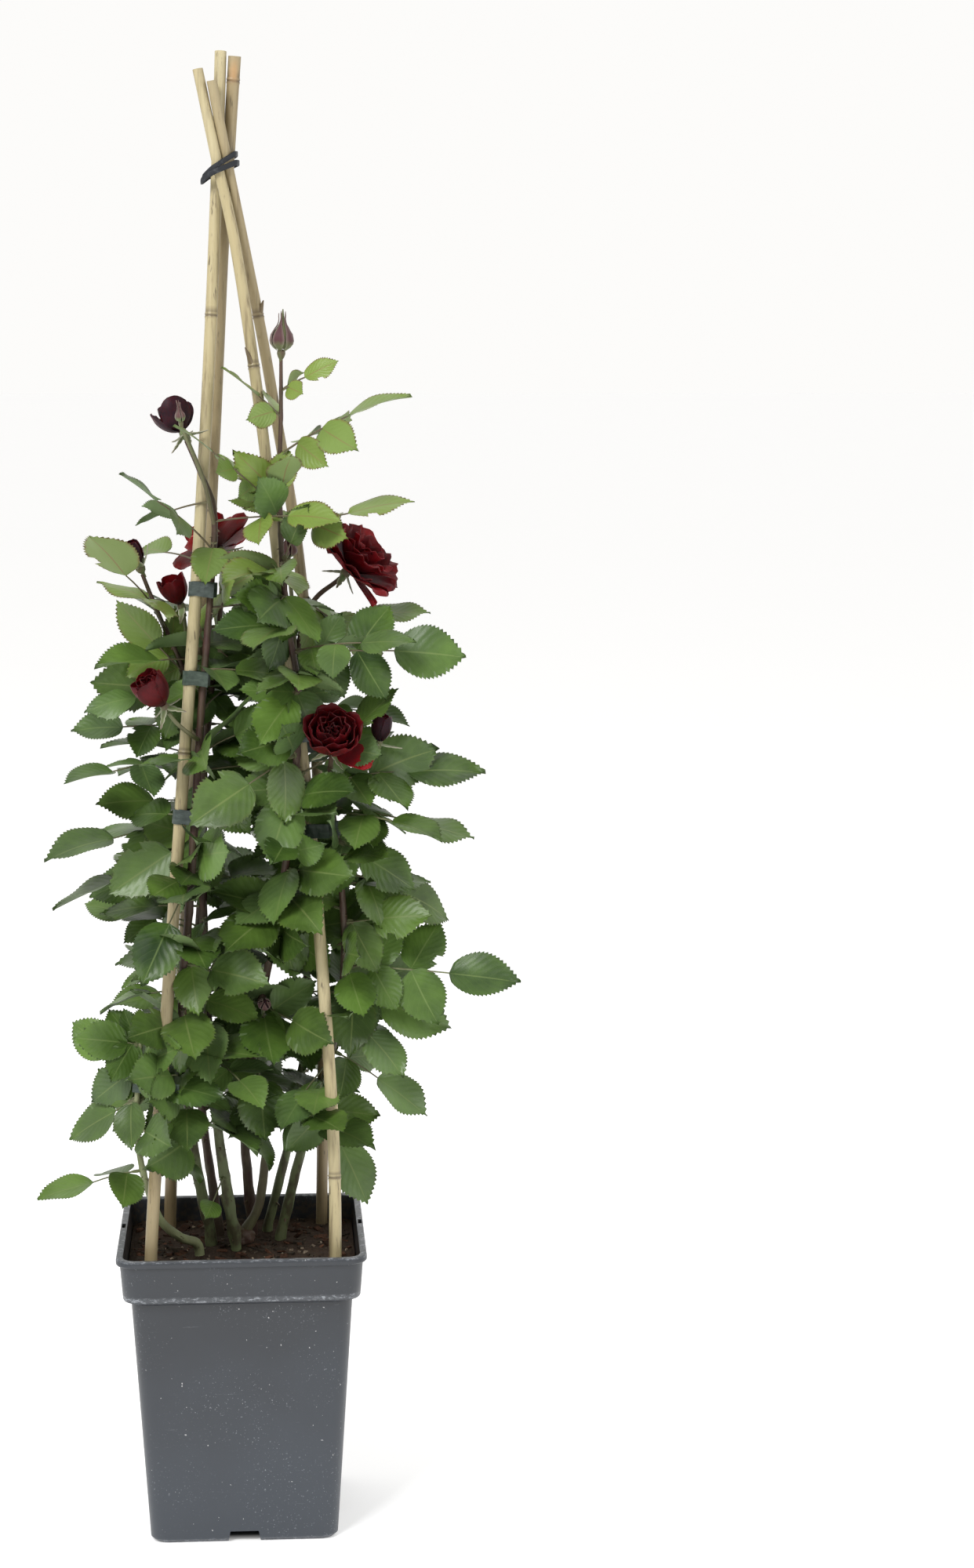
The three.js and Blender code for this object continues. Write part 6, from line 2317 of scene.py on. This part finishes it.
@dataclass
class Compost:
    """The compost in the pot, and the bark and pale bits that lie on it."""

    soil: Material
    half: float = 92.4
    corner: float = 0.15
    steps: int = 72
    floor: float = 13.3
    foot_half: float = 73.4
    neck: tuple[float, float] = (85.4, 203.0)
    bits: int = 620
    bits_half: float = 88
    bark_length: tuple[float, float] = (3, 13)
    crumb_length: tuple[float, float] = (1.5, 4)
    red_share: float = 0.4
    bark_share: float = 0.86

    def height(self, x: float, y: float) -> float:
        """Height of the compost's surface.

        Args:
            x: The place across, in millimetres.
            y: The place to the back.

        Returns:
            The height in millimetres.
        """
        spot = Vector((x, y, 0)) * 0.045
        edge = max(abs(x), abs(y)) / self.half
        return (SOIL_LEVEL - 0.6 + 2.2 * noise.fractal(spot, 0.9, 2.1, 4) + 0.7 * noise.noise(spot * 8)
                + 1.2 * smooth(0.8, 1.0, edge))

    def rounded(self, x: float, y: float) -> tuple[float, float]:
        """Moves a place of a square bed so that the bed's corners come out round.

        Args:
            x: Its place across.
            y: Its place to the back.

        Returns:
            Where it comes to lie.
        """
        half = max(abs(x), abs(y))
        corner = self.corner * half
        over = min(abs(x), abs(y)) - (half - corner)
        if over <= 0:
            return x, y
        angle = over / corner * pi / 4
        major, minor = half - corner + corner * cos(angle), half - corner + corner * sin(angle)
        x_size, y_size = (major, minor) if abs(x) >= abs(y) else (minor, major)
        return copysign(x_size, x), copysign(y_size, y)

    def bed(self) -> Object:
        """Builds the compost itself.

        Returns:
            The bed.
        """
        piece = Piece("compost_bed")

        def place(u: float, w: float) -> Vector:
            """A place on the surface."""
            x, y = self.rounded((2 * u - 1) * self.half, (2 * w - 1) * self.half)
            return Vector((x, y, self.height(x, y))) * MM

        faces = piece.sheet(self.steps, self.steps, place, lambda u, w: (0.15, 0.05, 0.2))
        rim, last = rims_of(faces), self.half
        for half, level in (self.neck, (self.foot_half, self.floor)):
            made = bmesh.ops.extrude_edge_only(piece.mesh, edges=rim)["geom"]
            for vert in (item for item in made if isinstance(item, BMVert)):
                vert.co = Vector((vert.co.x * half / last, vert.co.y * half / last, level * MM))
            last = half
            rim = [item for item in made if isinstance(item, BMEdge) and item.is_boundary]
        bmesh.ops.holes_fill(piece.mesh, edges=rim, sides=0)
        bmesh.ops.recalc_face_normals(piece.mesh, faces=piece.mesh.faces[:])
        return piece.finish(Slot.SOIL, "soil", [self.soil])

    def stems(self) -> list[tuple[Vector, float]]:
        """Where stems, canes and the graft stand in the compost, and how wide they are.

        Returns:
            Places and radii in millimetres.
        """
        made = [(Vector(cane.points[1][:2]), cane.radius[0] + 1) for cane in CANES.values()]
        made += [(Vector(stem.points[1][:2]), stem.radius[0] + 1) for stem in SHOOTS.values()]
        return made + [(Vector(Crown.centre[:2]), Crown.radius + 1)]

    def litter(self) -> Object:
        """Strews bark chips and pale bits on the compost.

        Returns:
            The litter.
        """
        piece = Piece("bark_chips")
        chance = Random(5)
        stems = self.stems()
        for _ in range(self.bits):
            x, y = (chance.uniform(-self.bits_half, self.bits_half) for _ in range(2))
            if any((Vector((x, y)) - spot).length < radius + 4 for spot, radius in stems):
                continue
            kind = chance.random()
            long = chance.uniform(*(self.bark_length if kind < 0.72 else self.crumb_length))
            size = Vector((long, long * chance.uniform(0.25, 0.6), chance.uniform(0.8, 2.4)))
            lean = Quaternion((chance.gauss(0, 1), chance.gauss(0, 1), 0.2), chance.gauss(0, 0.28))
            turn = Quaternion(UP, chance.uniform(0, pi)) @ lean
            centre = Vector((x, y, self.height(x, y) + size.z * 0.25))
            tint = ((chance.uniform(0.2, 1), 0, chance.random()) if kind < self.red_share else
                    (0.0, 0.25 * kind * kind, chance.random()) if kind < self.bark_share else
                    (0.0, chance.uniform(0.4, 1), chance.random()))
            chip = bmesh.ops.create_cube(piece.mesh, size=1)["verts"]
            for vert in chip:
                jag = Vector([chance.uniform(0.62, 1.1) for _ in range(3)])
                local = Vector([vert.co[k] * size[k] * jag[k] for k in range(3)])
                vert.co = (centre + turn @ local) * MM
            piece.paint({face for vert in chip for face in vert.link_faces}, tint)
        return piece.finish(Slot.SOIL, "soil", [self.soil], sharp=30)


@dataclass
class Studio:
    """The pale floor, the soft light and the camera."""

    lens: float = 72.72
    sensor: float = 36
    yaw: float = 4.12
    pitch: float = 7.78
    floor_half: float = 70.0
    floor_glow: float = 0.31
    floor_drop: float = 0.0002
    aim: Spot = (0, 0, 0.6)
    under_pot: tuple[float, float] = (0.058, 0.074)
    world: Colour = (1.0, 0.992, 0.976)
    world_strength: tuple[float, float] = (0.36, 0.98)
    lamps: tuple = (("key", (-1.5, -2.2, 2.9), 1.4, 100), ("fill", (2.4, -1.8, 1.8), 2.0, 32))

    def camera(self) -> None:
        """Sets the camera where the picture was taken from."""
        data = bpy.data.cameras.new("camera")
        data.sensor_width, data.lens = self.sensor, self.lens
        obj = new_object("camera", data)
        yaw, pitch = radians(self.yaw), radians(self.pitch)
        forward = Vector((sin(yaw) * cos(pitch), cos(yaw) * cos(pitch), -sin(pitch)))
        obj.location = EYE
        obj.rotation_euler = forward.to_track_quat("-Z", "Y").to_euler()
        bpy.context.scene.camera = obj

    def floor(self) -> None:
        """Lays the floor, with painted shade under the pot."""
        mesh = bmesh.new()
        bmesh.ops.create_grid(mesh, x_segments=1, y_segments=1, size=self.floor_half)
        data = new_mesh("floor", mesh)
        s = Shader("floor_white", Roughness=0.9, Specular_IOR_Level=0.05, Emission_Color=(1, 0.99, 0.975, 1),
                   Emission_Strength=self.floor_glow)
        split = s.node("SeparateXYZ", {0: s.place()})
        off = s.math("MAXIMUM", *(s.math("ABSOLUTE", split.outputs[axis]) for axis in range(2)))
        pale = s.mix(s.noise(0.8, 2), (0.945, 0.95, 0.955), (0.955, 0.96, 0.965))
        # Painted shade: under the pot the floor is dark grey and does not glow
        s.use("Base Color", s.mix(s.step(off, *self.under_pot), (0.2, 0.21, 0.22), pale))
        s.use("Emission Strength", s.step(off, *self.under_pot, (0, self.floor_glow)))
        data.materials.append(s.material)
        obj = new_object("floor", data)
        obj.location.z = -self.floor_drop

    def light(self, name: str, at: Spot, size: float, power: float) -> None:
        """Hangs one soft light that looks at the plant.

        Args:
            name: Its name.
            at: Where it hangs, in metres.
            size: Its side.
            power: Its power in watts.
        """
        data = bpy.data.lights.new(name, "AREA")
        data.shape, data.size, data.energy = "SQUARE", size, power
        obj = new_object(name, data)
        obj.location = at
        obj.rotation_euler = (Vector(self.aim) - Vector(at)).to_track_quat("-Z", "Y").to_euler()

    def build(self) -> None:
        """Sets the whole studio up."""
        self.camera()
        self.floor()
        for lamp in self.lamps:
            self.light(*lamp)
        self.surroundings()
        bpy.context.scene.view_settings.view_transform = "Standard"

    def surroundings(self) -> None:
        """Closes the studio with a pale wall all round, brightest behind the plant."""
        world = bpy.data.worlds.new("studio")
        world.use_nodes = True
        tree = world.node_tree
        spot, split, wall, skirt, glow = (tree.nodes.new(f"ShaderNode{kind}") for kind in (
            "TexCoord", "SeparateXYZ", "MapRange", "MapRange", "Math"))
        front, back = self.world_strength
        for ramp, values in ((wall, (-0.7, 0.6, front, back)), (skirt, (0.04, 0.1, back, 0))):
            ramp.interpolation_type = "SMOOTHSTEP"
            for socket, value in zip(("From Min", "From Max", "To Min", "To Max"), values):
                ramp.inputs[socket].default_value = value
        glow.operation = "MAXIMUM"
        background = tree.nodes["Background"]
        background.inputs["Color"].default_value = (*self.world, 1)
        tree.links.new(spot.outputs["Generated"], split.inputs[0])
        tree.links.new(split.outputs[1], wall.inputs["Value"])
        tree.links.new(split.outputs[2], skirt.inputs["Value"])
        tree.links.new(wall.outputs[0], glow.inputs[0])
        tree.links.new(skirt.outputs[0], glow.inputs[1])
        tree.links.new(glow.outputs[0], background.inputs["Strength"])
        bpy.context.scene.world = world


LEAF_TOP = LeafFinish("leaf_upper", (0.012, 0.034, 0.005), (0.108, 0.198, 0.03), (0.185, 0.262, 0.046),
                      (0.18, 0.25, 0.08), 0.38, 0.42, 0.13)
LEAF_UNDER = LeafFinish("leaf_under", (0.07, 0.115, 0.04), (0.125, 0.19, 0.07), (0.19, 0.25, 0.08),
                        (0.17, 0.22, 0.1), 0.62, 0.4, -0.2)
PETAL = PetalFinish("petal_velvet", (0.01, 0.0012, 0.002), (0.14, 0.003, 0.006), (0.42, 0.008, 0.01))
DARK_PETAL = PetalFinish("petal_dark", (0.008, 0.002, 0.005), (0.045, 0.004, 0.012), (0.16, 0.008, 0.016))
SEPAL = BudFinish("sepal_green", (0.12, 0.18, 0.06), (0.09, 0.035, 0.035))
ROSY_BUD = BudFinish("bud_rosy", (0.1, 0.12, 0.045), (0.06, 0.014, 0.02))


def build_pot() -> None:
    """Builds the pot and what fills it."""
    Pot(PotFinish().material()).build()
    compost = Compost(SoilFinish().material())
    compost.bed()
    compost.litter()


def build_frame() -> None:
    """Builds the canes, their band and the tape ties."""
    bamboo = BambooFinish().material()
    for name, line in CANES.items():
        Cane(name, line, bamboo, aged=CANE_AGES[name], marks=CANE_MARKS.get(name, CaneMarks())).build()
    CaneBand(RubberFinish().material()).build()
    tapes = [TapeFinish("tape_grey_green", (0.026, 0.043, 0.031), (0.056, 0.082, 0.06)).material(),
             TapeFinish("tape_slate", (0.028, 0.041, 0.036), (0.062, 0.082, 0.074)).material()]
    for i, (cane, shoot, height) in enumerate(TIES, start=1):
        TapeTie(f"tie_{i}", cane, shoot, height, tapes[i % 2]).build()


def build_rose() -> None:
    """Builds the graft, the shoots with their leaves, and the flowers."""
    bark = StemFinish().material()
    Crown(bark).build()
    leaf_materials = [LEAF_TOP.material(), LEAF_UNDER.material()]
    cut = LeafletCut()
    templates = [cut.template(seed) for seed in range(cut.variants)]
    shoots = [Shoot(name, stem, number, bark, Foliage(name, leaf_materials, templates))
              for number, (name, stem) in enumerate(SHOOTS.items())]
    thicket = Thicket()
    for shoot in shoots:
        shoot.foliage.find(shoot.curve)
        for plan, _ in shoot.foliage.plans:
            thicket.note(plan)
    for shoot in shoots:
        shoot.foliage.fill(shoot.curve, thicket)
        shoot.build()
        shoot.foliage.build()
    LOG.info("%d leaflets in all", len(thicket.leaflets))
    velvet, dark = PETAL.material(), DARK_PETAL.material()
    sepal, rosy = SEPAL.material(), ROSY_BUD.material()
    for number, (name, plan) in enumerate(BLOOMS.items()):
        petals = rosy if plan.shut and name == "bud_top" else dark if plan.bright < 0.2 or plan.shut else velvet
        bloom = Bloom(name, plan, number, [petals], rosy if name == "bud_top" else sepal)
        bloom.build_cup()
        bloom.build()
    for template in templates:
        bpy.data.meshes.remove(template)


def main() -> None:
    """Builds the scene in order."""
    logging.basicConfig(level=logging.INFO, format="%(message)s")
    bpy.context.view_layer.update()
    build_pot()
    build_frame()
    build_rose()
    Studio().build()


if __name__ == "__main__":
    main()
